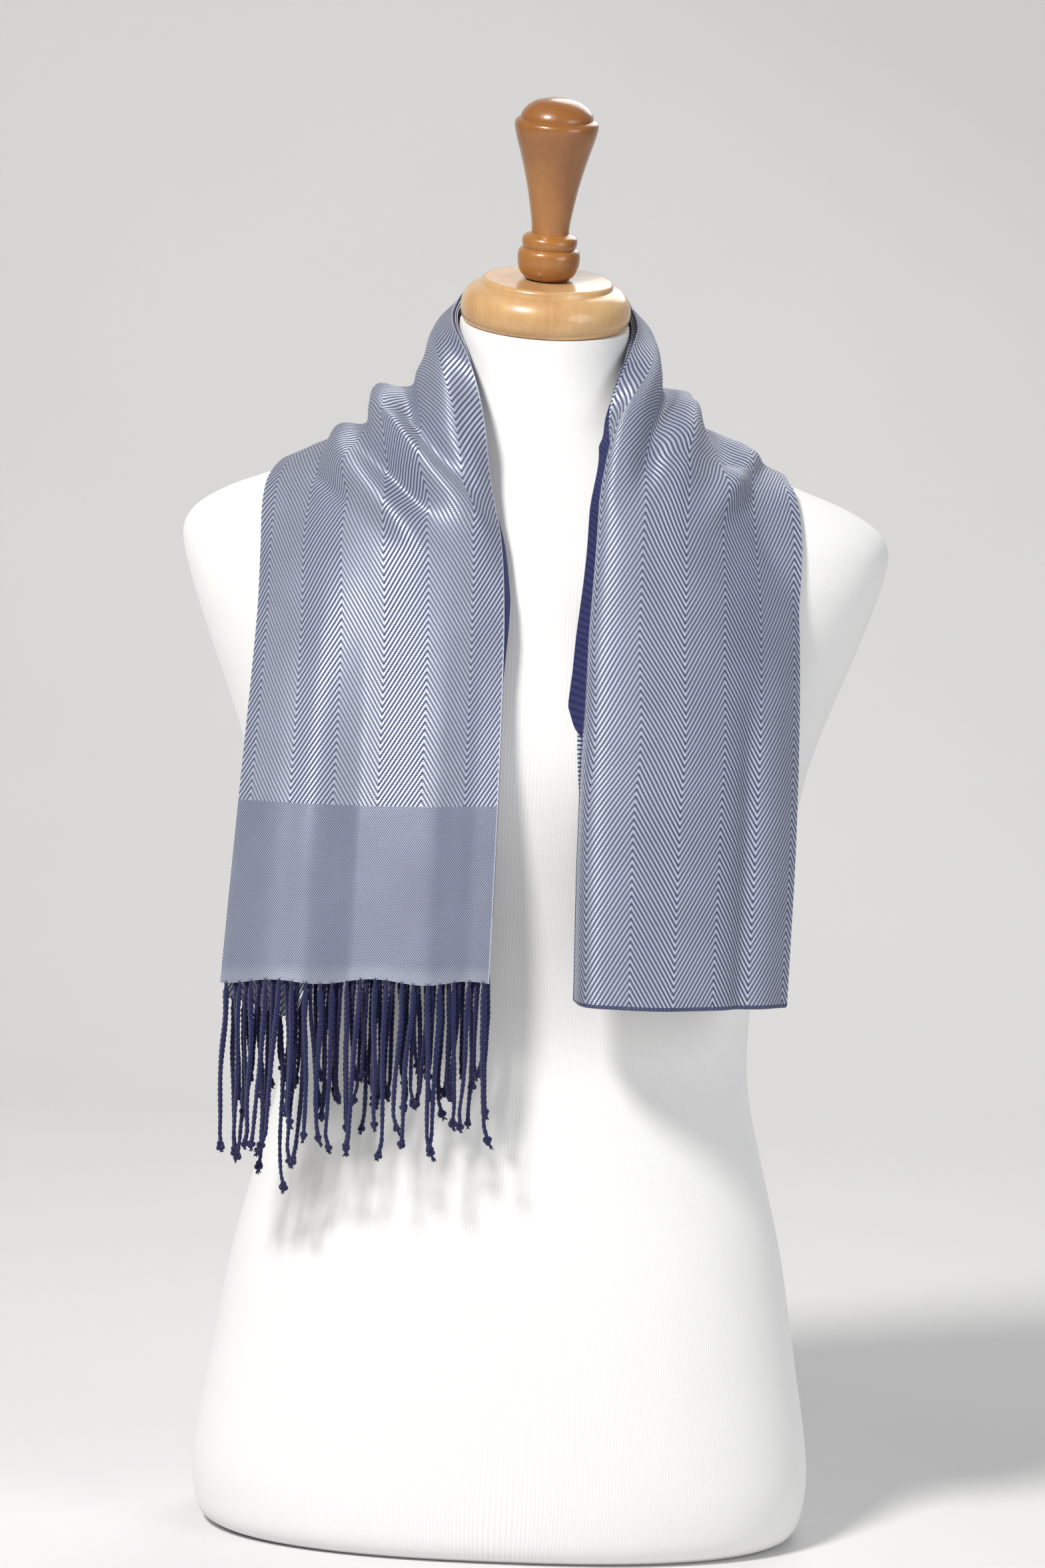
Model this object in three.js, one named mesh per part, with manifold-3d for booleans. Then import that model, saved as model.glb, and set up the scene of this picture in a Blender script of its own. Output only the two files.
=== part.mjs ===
// Twill herringbone scarf, folded double and hung round the neck of a limbless dress form.
// Millimetres, +Z up, front of the form facing -Y, origin at the centre of the form's base.
import * as THREE from 'three';
import Module from 'manifold-3d';
import { mergeVertices } from 'three/addons/utils/BufferGeometryUtils.js';

// ---------------------------------------------------------------- driving dimensions
const SEAM = 0.3; // gap between touching pieces
const CLOTH_LENGTH = 970; // folded scarf, left hem to the crosswise fold on the right
const TURNED_STRIP = 17.4; // strip at the neck side that turns in towards the form
const TURN_SPREAD = 10; // the turn is spread this far to each side
const LEFT_FALL_END = 300; // distance from the hem where the left fall meets the neck stretch
const RIGHT_FALL_END = 670; // distance from the hem where the neck stretch meets the right fall

const OUTER_LAYER = 1.0; // thickness of the layer that shows
const LAYER_GAP = 0.4; // air between it and the layers under it
const STACK = 3.4; // all four layers together
const REST_CLEARANCE = 0.6; // innermost layer to the form's jersey
const REST_SOFTNESS = 3; // how gently the cloth lifts where it starts to touch the form
const FOLD_RADIUS = STACK / 2; // crosswise fold at the foot of the right fall
const FOLD_LIP = 6; // height of the fold's rear lip

const HIDDEN_HEM = 38; // hems of the second and fourth layers, above the front hem
const STRIP_HEIGHT = 3; // heading that the fringe cords grow out of
const CORDS_PER_ROW = 20;
const CORD_RADIUS = 0.8;
const KNOT_RADIUS = 2.0;
const CORD_LENGTH = 84; // heading to knot

const NECK_LEVEL = 663; // centre of the neck's top face
const NECK_CENTRE = -9; // its offset towards the front
const NECK_TILT = 14; // degrees, cap and finial lean forward
const NECK_LEAN = 1.2; // degrees, and a little to the right
const CAP_HEIGHT = 24;
const FORM_SIDES = 32;

const table = (columns, ...rows) => rows.map(
  (row) => Object.fromEntries(columns.split(' ').map((name, i) => [name, row[i]])),
);

// Level sections of the torso, from the base up. "round" is the superellipse power.
const FORM_SECTIONS = table('level half front back round centre tilt',
  [0, 155, 96, 106, 2.4, 0, 0],
  [4, 163, 103, 113, 2.4, 0, 0],
  [14, 168, 107, 117, 2.4, 0, 0],
  [40, 170, 108, 118, 2.4, 0, 0],
  [100, 160.5, 104, 116, 2.35, 0, 0],
  [157, 150.5, 98, 107, 2.3, 0, 0],
  [205, 138.5, 90, 94, 2.2, 0, 0],
  [240, 130, 84, 84, 2.2, 0, 0],
  [265, 127.5, 81, 79, 2.2, 0, 0],
  [300, 129, 84, 80, 2.2, 0, 0],
  [345, 137, 91.5, 87, 2.2, 0, 0],
  [390, 147, 99, 97, 2.2, 0, 0],
  [425, 154, 103, 104, 2.2, 0, 0],
  [455, 164, 102, 108, 2.15, 0, 0],
  [490, 177.5, 97.5, 109, 2.1, 0, 0],
  [520, 188, 93, 105, 2.05, 0, 0],
  [541, 193, 85, 99, 2, 0, 0],
  [551, 191, 80, 94, 2, 0, 0],
  [560, 183, 75, 89, 2, 0, 0],
  [569, 167, 70, 84, 2, 0, 0],
  [577, 146, 65, 79, 2, 0, 0],
  [585, 125, 60, 74, 2, 0, 0],
  [594, 102, 56, 69, 2, 0, 0],
  [604, 80, 52, 64, 2, -1, 0],
  [615, 63, 49, 58, 2, -3, 1],
  [628, 53, 46.5, 52, 2, -5, 4],
  [645, 48, 45, 48, 2, -7, 9],
  [663, 46, 44.6, 44.6, 2, -9, 14],
);
const BUST = { apart: 76, level: 432, wide: 46, tall: 52, lift: 22 };

// Folded band, station by station: neck-side edge, middle and outer edge.
// x is counted away from the centre, "run" along the band from its own lower end.
const BAND = 'run neckX neckY neckZ midX midY midZ outX outY outZ';
const LEFT_BAND = table(BAND,
  [0, 15, -121, 315, 84, -124, 311, 157, -103, 304],
  [100, 14, -125, 407, 82, -128, 404, 151, -103, 402],
  [200, 14, -113, 501, 82, -116, 500, 146, -82, 499],
  [250, 16, -101, 548, 82, -103, 549, 146, -58, 545],
  [290, 24, -88, 585, 83, -80, 586, 143, -30, 571],
  [320, 31, -75, 611, 84, -48, 607, 135, 3, 584],
  [360, 40, -49, 640, 81, -5, 624, 122, 44, 576],
  [400, 47, -11, 664, 71, 33, 628, 102, 77, 563],
  [440, 41, 27, 682, 53, 63, 627, 68, 101, 557],
  [485, 0, 50, 692, 0, 86, 624, 0, 116, 554],
);
const RIGHT_BAND = table(BAND,
  [0, 24, -124, 305, 81, -126, 305, 143, -88, 305],
  [100, 22, -128, 401, 81, -130, 401, 144, -88, 401],
  [200, 24, -118, 495, 79, -120, 495, 142, -76, 495],
  [250, 26, -107, 542, 76, -108, 542, 138, -54, 540],
  [290, 28, -94, 579, 75, -86, 585, 133, -26, 570],
  [320, 33, -77, 604, 75, -54, 611, 129, 5, 583],
  [360, 42, -49, 635, 78, -7, 625, 118, 46, 575],
  [400, 47, -11, 661, 70, 34, 628, 99, 78, 563],
  [440, 41, 27, 681, 53, 63, 627, 67, 101, 557],
  [485, 0, 50, 692, 0, 86, 624, 0, 116, 554],
);

// Folded width along the band, and how far the strip at the neck side turns in, in degrees.
const WIDTHS = table('run width turn',
  [0, 145, 24], [97, 142, 38], [250, 142, 34], [330, 142, 24], [380, 141, 0],
  [600, 140, 0], [650, 139, 58], [690, 139, 82], [765, 139, 80], [830, 139, 72],
  [970, 139, 66],
);

// Folds of the band: ridges are positive, valleys negative. "from" and "to" count along the band
// from the left hem, "at" and "end" across it from the neck side.
const FOLDS = table('from at to end wide height fade',
  [300, 20, 670, 20, 13, 7, 60], // collar roll
  [268, 14, 322, 47, 8, -8, 24], // valley under it, left, behind and right
  [322, 47, 372, 55, 8, -7, 20],
  [372, 55, 600, 46, 9, -6, 30],
  [600, 46, 690, 40, 9, -8, 40],
  [262, 19, 325, 65, 10, 7.5, 30], // second roll
  [325, 65, 375, 73, 11, 8, 20],
  [375, 73, 600, 63, 12, 6, 30],
  [600, 63, 672, 62, 9, 5, 40],
  [262, 43, 310, 81, 9, -7, 26], // second valley
  [310, 81, 365, 92, 9, -6, 20],
  [365, 92, 605, 76, 11, -4, 30],
  [605, 74, 668, 98, 9, -9, 30],
  [244, 47, 300, 95, 11, 5, 30], // third roll
  [300, 95, 365, 111, 12, 4, 20],
  [365, 111, 600, 102, 14, 4, 30],
  [600, 102, 652, 113, 11, 5, 30],
  [652, 113, 695, 86, 11, 4.5, 30],
  [268, 90, 290, 107, 7, -3, 16],
  [290, 107, 350, 113, 7, -3, 20],
);

// How far the under layers stand past the front layer at the neck side.
const UNDER_EDGE = table('run out',
  [0, 0.4], [170, 0.4], [190, 2], [215, 4], [245, 3], [270, 0.4],
  [622, 0.4], [645, 5], [690, 5.5], [806, 5.5], [818, 3], [822, 0.4], [970, 0.4],
);

// Fringe rows: where each layer's cords leave it and how far they hang apart, front to back.
// "half" is half the thickness of the heading they grow out of.
const FRINGE_ROWS = table('name hem slant head half start end seed',
  ['fringe_front', 0, 0, 0.5, 0.4, 0.5, -3, 1],
  ['fringe_second', HIDDEN_HEM, 0, 1.75, 0.3, 3.1, 3.1, 2],
  ['fringe_third', -8, -10, 4.8, 0.4, 5.3, 9.2, 3],
  ['fringe_back', HIDDEN_HEM, 0, 4.4, 0.3, 7.2, 13.5, 4],
);
// The third layer's end, which hangs below the front hem: depth of its two faces.
const THIRD_END = table('run front back', [-30, 4.3, 5.3], [24, 4.3, 5.3], [HIDDEN_HEM, 2.4, 3.4]);

// ---------------------------------------------------------------- small helpers
const clamp = (x, low, high) => Math.min(high, Math.max(low, x));
const smooth = (x) => { const c = clamp(x, 0, 1); return c * c * (3 - 2 * c); };
const radians = THREE.MathUtils.degToRad;
const wander = (seed, i) => { // repeatable number from -1 to 1
  const wave = Math.sin(seed * 12.9898 + i * 78.233) * 437.585;
  return 2 * (wave - Math.floor(wave)) - 1;
};

// Smooth curve through a table's rows: the value of each column at x.
function alongTable(rows, key, x) {
  const last = rows.length - 1;
  const at = clamp(x, rows[0][key], rows[last][key]);
  let i = 0;
  while (i < last - 1 && at >= rows[i + 1][key]) i += 1;
  const slope = (j, name) => {
    const low = rows[Math.max(j - 1, 0)];
    const high = rows[Math.min(j + 1, last)];
    return (high[name] - low[name]) / (high[key] - low[key]);
  };
  const step = rows[i + 1][key] - rows[i][key];
  const s = (at - rows[i][key]) / step;
  const weights = [2 * s ** 3 - 3 * s ** 2 + 1, s ** 3 - 2 * s ** 2 + s,
    3 * s ** 2 - 2 * s ** 3, s ** 3 - s ** 2];
  const result = {};
  for (const name of Object.keys(rows[0])) {
    if (name === key) continue;
    result[name] = weights[0] * rows[i][name] + weights[1] * step * slope(i, name)
      + weights[2] * rows[i + 1][name] + weights[3] * step * slope(i + 1, name);
  }
  return result;
}

// Straight-line reading of a table, for widths that must not overshoot.
function readTable(rows, key, name, x) {
  let i = 0;
  while (i < rows.length - 2 && x > rows[i + 1][key]) i += 1;
  const s = clamp((x - rows[i][key]) / (rows[i + 1][key] - rows[i][key]), 0, 1);
  return rows[i][name] + s * (rows[i + 1][name] - rows[i][name]);
}

// Closed body from points and triangles, turned so that its faces point out.
function body(points, faces) {
  let volume = 0;
  for (const [a, b, c] of faces) {
    volume += points[a].dot(new THREE.Vector3().crossVectors(points[b], points[c]));
  }
  const turned = volume < 0 ? faces.map(([a, b, c]) => [a, c, b]) : faces;
  const geometry = new THREE.BufferGeometry();
  const numbers = points.flatMap((p) => [p.x, p.y, p.z]);
  geometry.setAttribute('position', new THREE.Float32BufferAttribute(numbers, 3));
  geometry.setIndex(turned.flat());
  geometry.computeVertexNormals();
  return geometry;
}

// Closed body through rings of equally many points, with a flat end on each side.
function loft(rings) {
  const sides = rings[0].length;
  const points = rings.flat();
  const faces = [];
  for (let r = 0; r < rings.length - 1; r += 1) {
    for (let k = 0; k < sides; k += 1) {
      const a = r * sides + k;
      const b = r * sides + ((k + 1) % sides);
      faces.push([a, b, b + sides], [a, b + sides, a + sides]);
    }
  }
  const top = (rings.length - 1) * sides;
  if (sides === 3) {
    faces.push([0, 2, 1], [top, top + 1, top + 2]);
    return body(points, faces);
  }
  for (const [ring, start, turn] of [[rings[0], 0, 1], [rings.at(-1), top, -1]]) {
    const middle = ring.reduce((sum, p) => sum.add(p), new THREE.Vector3()).divideScalar(sides);
    points.push(middle);
    for (let k = 0; k < sides; k += 1) {
      const pair = [start + k, start + ((k + 1) % sides)];
      faces.push(turn > 0 ? [points.length - 1, pair[1], pair[0]] : [points.length - 1, ...pair]);
    }
  }
  return body(points, faces);
}

// ---------------------------------------------------------------- dress form
const bustAt = (x, level) => BUST.lift
  * Math.exp(-(((Math.abs(x) - BUST.apart) / BUST.wide) ** 2) - ((level - BUST.level) / BUST.tall) ** 2);
const leanOf = (tilt) => (NECK_LEAN * tilt) / NECK_TILT;

function formPoint(level, angle) {
  const s = alongTable(FORM_SECTIONS, 'level', level);
  const power = 2 / s.round;
  const c = Math.cos(angle);
  const n = Math.sin(angle);
  const x = s.half * Math.sign(c) * Math.abs(c) ** power;
  let y = s.centre + (n < 0 ? s.front : s.back) * Math.sign(n) * Math.abs(n) ** power;
  if (n < 0) y -= bustAt(x, level) * Math.sqrt(-n);
  const z = level + (y - s.centre) * Math.tan(radians(s.tilt)) - x * Math.tan(radians(leanOf(s.tilt)));
  return new THREE.Vector3(x, y, z);
}

// Distance of a point outside the form, first as a scaled radius, then as a true length.
function formScale(p) {
  let level = p.z;
  let s = alongTable(FORM_SECTIONS, 'level', level);
  for (let pass = 0; pass < 2; pass += 1) {
    level = p.z - (p.y - s.centre) * Math.tan(radians(s.tilt));
    s = alongTable(FORM_SECTIONS, 'level', level);
  }
  const y = p.y - s.centre;
  const depth = y < 0 ? s.front + bustAt(p.x, level) : s.back;
  const ratio = ((Math.abs(p.x) / s.half) ** s.round + (Math.abs(y) / depth) ** s.round) ** (1 / s.round);
  return (1 - 1 / Math.max(ratio, 1e-6)) * Math.hypot(p.x, y);
}

function liftClear(p, clearance) {
  const step = 0.5;
  const here = formScale(p);
  const uphill = new THREE.Vector3(...['x', 'y', 'z'].map((axis) => {
    const ahead = p.clone();
    const behind = p.clone();
    ahead[axis] += step;
    behind[axis] -= step;
    return (formScale(ahead) - formScale(behind)) / (2 * step);
  }));
  const size = Math.max(uphill.length(), 1e-6);
  const distance = here / size;
  const wanted = (distance + clearance + Math.hypot(distance - clearance, REST_SOFTNESS)) / 2;
  return p.clone().addScaledVector(uphill, (wanted - distance) / size);
}

function torso() {
  const levels = FORM_SECTIONS.map((row) => row.level);
  return loft(levels.map((level) => Array.from({ length: FORM_SIDES },
    (_, k) => formPoint(level, (2 * Math.PI * k) / FORM_SIDES))));
}

const lathe = (profile, sides) => {
  const outline = profile.map(([radius, height]) => new THREE.Vector2(radius, height));
  const geometry = new THREE.LatheGeometry(outline, sides).rotateX(Math.PI / 2);
  geometry.deleteAttribute('uv');
  geometry.deleteAttribute('normal');
  return mergeVertices(geometry, 1e-4);
};
// Turned profiles: radius, height.
const CAP_PROFILE = [[0, 0], [43.8, 0], [45.6, 3], [46.3, 8], [45.4, 13], [42.4, 17.6],
  [38.6, 20], [36, 20.8], [35.2, 23], [34.2, CAP_HEIGHT], [0, CAP_HEIGHT]];
const FINIAL_PROFILE = [[0, 0], [11.5, 0], [14.6, 3], [16.6, 8], [16.9, 13], [15.9, 16.4],
  [14.4, 17.4], [15, 19.6], [14.6, 22.6], [12, 24], [10.1, 24.8], [10.8, 32], [16, 58],
  [21.8, 78], [22.6, 83], [21.6, 86.6], [19.6, 87.6], [18.4, 90.6], [13.5, 95.2], [6.5, 97.6], [0, 98]];

// ---------------------------------------------------------------- folded band
const mirrored = (rows, side) => rows.map((row) => (
  { ...row, neckX: side * row.neckX, midX: side * row.midX, outX: side * row.outX }));
const STATIONS = [
  ...mirrored(LEFT_BAND, -1),
  ...mirrored(RIGHT_BAND, 1).reverse().slice(1).map((row) => ({ ...row, run: CLOTH_LENGTH - row.run })),
];
const bandWidth = (run) => readTable(WIDTHS, 'run', 'width', run);

// The strip at the neck side turns in on a soft bend: how far across the band each step of it
// lies when seen flat, and how deep it has dropped.
const TURN_STEPS = 32;
const turns = new Map();
function turnedStrip(run) {
  if (!turns.has(run)) {
    const angle = radians(readTable(WIDTHS, 'run', 'turn', run));
    const step = (TURNED_STRIP + TURN_SPREAD) / TURN_STEPS;
    const flat = [0];
    const drop = [0];
    for (let k = 0; k < TURN_STEPS; k += 1) {
      const here = angle * smooth((TURNED_STRIP + TURN_SPREAD - (k + 0.5) * step) / (2 * TURN_SPREAD));
      flat.push(flat[k] + step * Math.cos(here));
      drop.push(drop[k] + step * Math.sin(here));
    }
    turns.set(run, { angle, step, flat, drop: drop.map((d) => drop.at(-1) - d) });
  }
  return turns.get(run);
}
function turnAt(run, across) {
  const { angle, step, flat, drop } = turnedStrip(run);
  if (across < 0) return { flat: across * Math.cos(angle), drop: drop[0] - across * Math.sin(angle) };
  const k = Math.min(Math.floor(across / step), TURN_STEPS);
  if (k === TURN_STEPS) return { flat: flat[k] + across - TURN_STEPS * step, drop: 0 };
  const s = across / step - k;
  return { flat: flat[k] + s * (flat[k + 1] - flat[k]), drop: drop[k] + s * (drop[k + 1] - drop[k]) };
}

// One crossing of the band as a curve, read by its length so that the weave stays even.
const CROSS_STEPS = 24;
const crossings = new Map();
function crossing(run) {
  if (!crossings.has(run)) {
    const s = alongTable(STATIONS, 'run', run);
    const points = Array.from({ length: CROSS_STEPS + 1 }, (_, k) => {
      const t = k / CROSS_STEPS;
      const blend = (a, b, c) => a * (2 * t - 1) * (t - 1) + b * 4 * t * (1 - t) + c * t * (2 * t - 1);
      return new THREE.Vector3(blend(s.neckX, s.midX, s.outX), blend(s.neckY, s.midY, s.outY),
        blend(s.neckZ, s.midZ, s.outZ));
    });
    const lengths = [0];
    points.slice(1).forEach((p, k) => lengths.push(lengths[k] + p.distanceTo(points[k])));
    crossings.set(run, { points, lengths: lengths.map((length) => length / lengths.at(-1)) });
  }
  return crossings.get(run);
}
function bandPoint(run, share) {
  const width = bandWidth(run);
  const at = turnAt(run, share * width).flat / turnAt(run, width).flat;
  const { points, lengths } = crossing(clamp(run, 0, CLOTH_LENGTH));
  let k = 0;
  while (k < CROSS_STEPS - 1 && at > lengths[k + 1]) k += 1;
  const s = (at - lengths[k]) / (lengths[k + 1] - lengths[k]);
  return points[k].clone().lerp(points[k + 1], s);
}

function foldHeight(run, across) {
  let height = 0;
  for (const fold of FOLDS) {
    const part = clamp((run - fold.from) / (fold.to - fold.from), -0.3, 1.3);
    const centre = fold.at + (fold.end - fold.at) * part;
    const ends = smooth((run - fold.from + fold.fade / 2) / fold.fade)
      * smooth((fold.to + fold.fade / 2 - run) / fold.fade);
    height += fold.height * ends * Math.exp(-(((across - centre) / fold.wide) ** 2));
  }
  return height;
}

const PROBE = 0.4; // mm, for slopes
function normalOf(surface, run, share) {
  const side = PROBE / bandWidth(run);
  const low = Math.max(run - PROBE, 0);
  const high = Math.min(run + PROBE, CLOTH_LENGTH);
  const lengthwise = surface(high, share).sub(surface(low, share));
  const crosswise = surface(run, share + side).sub(surface(run, share - side));
  return lengthwise.cross(crosswise).normalize();
}
// Outer face of the scarf: rolls and valleys on the plain band, lifted clear of the form.
function clothPoint(run, share) {
  const plain = bandPoint(run, share);
  const out = normalOf(bandPoint, run, share);
  const across = share * bandWidth(run);
  plain.addScaledVector(out, foldHeight(run, across) - turnAt(run, across).drop);
  return liftClear(plain, STACK + REST_CLEARANCE);
}
const clothSpot = (run, share) => (
  { point: clothPoint(run, share), normal: normalOf(clothPoint, run, share) });
const below = (spot, depth) => spot.point.clone().addScaledVector(spot.normal, -depth);

// Closed wall between two depths under a grid of spots.
function wall(grid, depths) {
  const rows = grid.length;
  const columns = grid[0].length;
  const points = [0, 1].flatMap((face) => grid.flatMap((row, r) => row.map(
    (spot, c) => below(spot, typeof depths === 'function' ? depths(r, c)[face] : depths[face]),
  )));
  const at = (face, r, c) => face * rows * columns + r * columns + c;
  const faces = [];
  const quad = (a, b, c, d) => faces.push([a, b, c], [a, c, d]);
  for (let r = 0; r < rows - 1; r += 1) {
    for (let c = 0; c < columns - 1; c += 1) {
      quad(at(0, r, c), at(0, r, c + 1), at(0, r + 1, c + 1), at(0, r + 1, c));
      quad(at(1, r, c), at(1, r + 1, c), at(1, r + 1, c + 1), at(1, r, c + 1));
    }
  }
  for (let r = 0; r < rows - 1; r += 1) {
    quad(at(0, r, 0), at(0, r + 1, 0), at(1, r + 1, 0), at(1, r, 0));
    quad(at(0, r, columns - 1), at(1, r, columns - 1), at(1, r + 1, columns - 1), at(0, r + 1, columns - 1));
  }
  for (let c = 0; c < columns - 1; c += 1) {
    quad(at(0, 0, c), at(1, 0, c), at(1, 0, c + 1), at(0, 0, c + 1));
    quad(at(0, rows - 1, c), at(0, rows - 1, c + 1), at(1, rows - 1, c + 1), at(1, rows - 1, c));
  }
  return body(points, faces);
}

const COLUMNS = 16;
const shares = Array.from({ length: COLUMNS + 1 }, (_, c) => c / COLUMNS);
const steps = (from, to, count) => Array.from({ length: count + 1 }, (_, k) => from + ((to - from) * k) / count);
const LEFT_RUNS = [...steps(0, 160, 5), 190, 215, ...steps(235, LEFT_FALL_END, 5)];
const NECK_RUNS = steps(LEFT_FALL_END, RIGHT_FALL_END, 31);
const RIGHT_RUNS = [...steps(RIGHT_FALL_END, 730, 5), 755, 780, 806, 818, 822, ...steps(846, CLOTH_LENGTH, 4)];

// Runs of one piece, with half a seam taken off at each joined end.
const trimmed = (runs, first, last) => runs.map((run, k) => {
  if (k === 0) return run + first;
  return k === runs.length - 1 ? run - last : run;
});
const gridOf = (runs, sharesAt = () => shares) => runs.map(
  (run) => sharesAt(run).map((share) => clothSpot(run, share)));
const underShares = (run) => [-readTable(UNDER_EDGE, 'run', 'out', run) / bandWidth(run), ...shares];

// Hem of the front layer: shallow scallops between groups of cords.
const HEM_WAVE = { height: 1.2, turns: 17, start: 0.6 };
const hemWave = (share) => HEM_WAVE.height * Math.sin(share * HEM_WAVE.turns + HEM_WAVE.start);

function leftFall() {
  const grid = gridOf(trimmed(LEFT_RUNS, 0, SEAM / 2));
  grid[0].forEach((spot, c) => { spot.point.z += hemWave(shares[c]); });
  return wall(grid, [0, OUTER_LAYER]);
}
const neckStretch = () => wall(gridOf(trimmed(NECK_RUNS, SEAM / 2, SEAM / 2)), [0, OUTER_LAYER]);

function rightFall() {
  const grid = gridOf(trimmed(RIGHT_RUNS, SEAM / 2, 0));
  const foot = grid.at(-1);
  const down = new THREE.Vector3(0, 0, -1);
  for (const turn of [45, 90, 135, 180]) {
    const c = Math.cos(radians(turn));
    const s = Math.sin(radians(turn));
    grid.push(foot.map((spot) => ({
      point: below(spot, FOLD_RADIUS).addScaledVector(spot.normal, FOLD_RADIUS * c)
        .addScaledVector(down, FOLD_RADIUS * s),
      normal: spot.normal.clone().multiplyScalar(c).addScaledVector(down, s),
    })));
  }
  grid.push(grid.at(-1).map((spot) => (
    { point: spot.point.clone().addScaledVector(down, -FOLD_LIP), normal: spot.normal })));
  return wall(grid, [0, OUTER_LAYER]);
}

const UNDER_FACES = [OUTER_LAYER + LAYER_GAP, STACK];
function underWall(runs, first, last) {
  return wall(gridOf(trimmed(runs, first, last), underShares), UNDER_FACES);
}
const underLeft = () => underWall([HIDDEN_HEM, ...LEFT_RUNS.filter((run) => run > HIDDEN_HEM + 10)], 0, SEAM / 2);
const underNeck = () => underWall(NECK_RUNS, SEAM / 2, SEAM / 2);
const underRight = () => underWall([...RIGHT_RUNS.slice(0, -1), CLOTH_LENGTH - FOLD_LIP - SEAM], SEAM / 2, 0);

// End of the third layer: hangs from under the hidden hems to a slanting hem below the front one.
const THIRD = FRINGE_ROWS[2];
const SLANT = { from: 0.62, to: 0.97 }; // shares across over which its hem slopes
const rowHem = (row, share) => row.hem + row.slant * smooth((SLANT.to - share) / (SLANT.to - SLANT.from));
function thirdLayerEnd() {
  const top = HIDDEN_HEM - SEAM;
  const parts = [1, 0.72, 0.4, 0];
  const runAt = (part, share) => rowHem(THIRD, share) + part * (top - rowHem(THIRD, share));
  const grid = parts.map((part) => shares.map((share) => clothSpotBelow(runAt(part, share), share)));
  return wall(grid, (r, c) => {
    const run = runAt(parts[r], shares[c]);
    return [readTable(THIRD_END, 'run', 'front', run), readTable(THIRD_END, 'run', 'back', run)];
  });
}
// Below the front hem everything hangs straight down.
function clothSpotBelow(run, share) {
  const spot = clothSpot(Math.max(run, 0), share);
  spot.point.z += Math.min(run, 0);
  return spot;
}

// ---------------------------------------------------------------- fringe
const wasm = await Module();
wasm.setup();
function solid(geometry) {
  return new wasm.Manifold(new wasm.Mesh({
    numProp: 3,
    vertProperties: new Float32Array(geometry.attributes.position.array),
    triVerts: new Uint32Array(geometry.index.array),
  }));
}
function fuse(geometries) {
  const joined = geometries.map(solid).reduce((sum, part) => sum.add(part));
  const mesh = joined.getMesh();
  const points = [];
  for (let i = 0; i < mesh.vertProperties.length; i += mesh.numProp) {
    points.push(new THREE.Vector3(...mesh.vertProperties.slice(i, i + 3)));
  }
  const faces = [];
  for (let i = 0; i < mesh.triVerts.length; i += 3) faces.push([...mesh.triVerts.slice(i, i + 3)]);
  return body(points, faces);
}

// Stations down one cord: distance from its root and radius.
const CORD_STATIONS = table('fall radius',
  [0, 0.3], [12, CORD_RADIUS], [CORD_LENGTH - 4, CORD_RADIUS],
  [CORD_LENGTH - 1, KNOT_RADIUS], [CORD_LENGTH + 2, KNOT_RADIUS], [CORD_LENGTH + 8, 0.5],
);
const CORD_SIDES = 3;
const SIDE_WANDER = 1.1; // mm that a cord strays sideways by its end
const LENGTH_WANDER = 7; // mm that cords differ in length
const SPREAD_WITHIN = 14; // mm below the root where a row has reached its own depth

function cord(row, i) {
  const share = (i + 0.5) / CORDS_PER_ROW;
  const root = rowHem(row, share) - SEAM - STRIP_HEIGHT / 2;
  const stretch = 1 + (LENGTH_WANDER * wander(row.seed, i)) / CORD_LENGTH;
  const rings = CORD_STATIONS.map(({ fall, radius }) => {
    const drop = fall * stretch;
    const part = drop / CORD_LENGTH;
    const settle = smooth(drop / SPREAD_WITHIN);
    const depth = row.head + (row.start - row.head) * settle + (row.end - row.start) * part;
    const centre = below(clothSpotBelow(root - drop, share), depth);
    centre.x += SIDE_WANDER * wander(row.seed + 5, i) * part;
    return Array.from({ length: CORD_SIDES }, (_, k) => {
      const angle = (2 * Math.PI * k) / CORD_SIDES;
      return centre.clone().add(new THREE.Vector3(radius * Math.cos(angle), radius * Math.sin(angle), 0));
    });
  });
  return loft(rings);
}
function fringe(row) {
  const heading = [0, 1].map((edge) => shares.map((share) => {
    const spot = clothSpotBelow(rowHem(row, share) - SEAM - edge * STRIP_HEIGHT, share);
    if (row.hem === 0) spot.point.z += hemWave(share);
    return spot;
  }));
  const strip = wall(heading, [row.head - row.half, row.head + row.half]);
  const cords = Array.from({ length: CORDS_PER_ROW }, (_, i) => cord(row, i));
  return fuse([strip, ...cords]);
}

// ---------------------------------------------------------------- assembly
const fabric = (color) => new THREE.MeshStandardMaterial({ color, roughness: 0.85, metalness: 0 });
const FACE = fabric(0x8d94ad);
const REVERSE = fabric(0x2b2d5c);
const JERSEY = fabric(0xf2f2ee);
const MAPLE = new THREE.MeshStandardMaterial({ color: 0xdcb57c, roughness: 0.3, metalness: 0 });
const HONEY = new THREE.MeshStandardMaterial({ color: 0xc98d52, roughness: 0.25, metalness: 0 });

const part = new THREE.Group();
function piece(name, geometry, material, parent = part) {
  const mesh = new THREE.Mesh(geometry, material.clone());
  mesh.name = name;
  parent.add(mesh);
  return mesh;
}

piece('form_torso', torso(), JERSEY);
const neckTop = new THREE.Group();
const neckUp = new THREE.Vector3(
  Math.tan(radians(NECK_LEAN)), -Math.tan(radians(NECK_TILT)), 1).normalize();
neckTop.position.set(0, NECK_CENTRE, NECK_LEVEL).addScaledVector(neckUp, SEAM);
neckTop.quaternion.setFromUnitVectors(new THREE.Vector3(0, 0, 1), neckUp);
part.add(neckTop);
piece('neck_cap', lathe(CAP_PROFILE, 36), MAPLE, neckTop);
piece('finial', lathe(FINIAL_PROFILE, 24), HONEY, neckTop).position.z = CAP_HEIGHT + SEAM;

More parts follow.
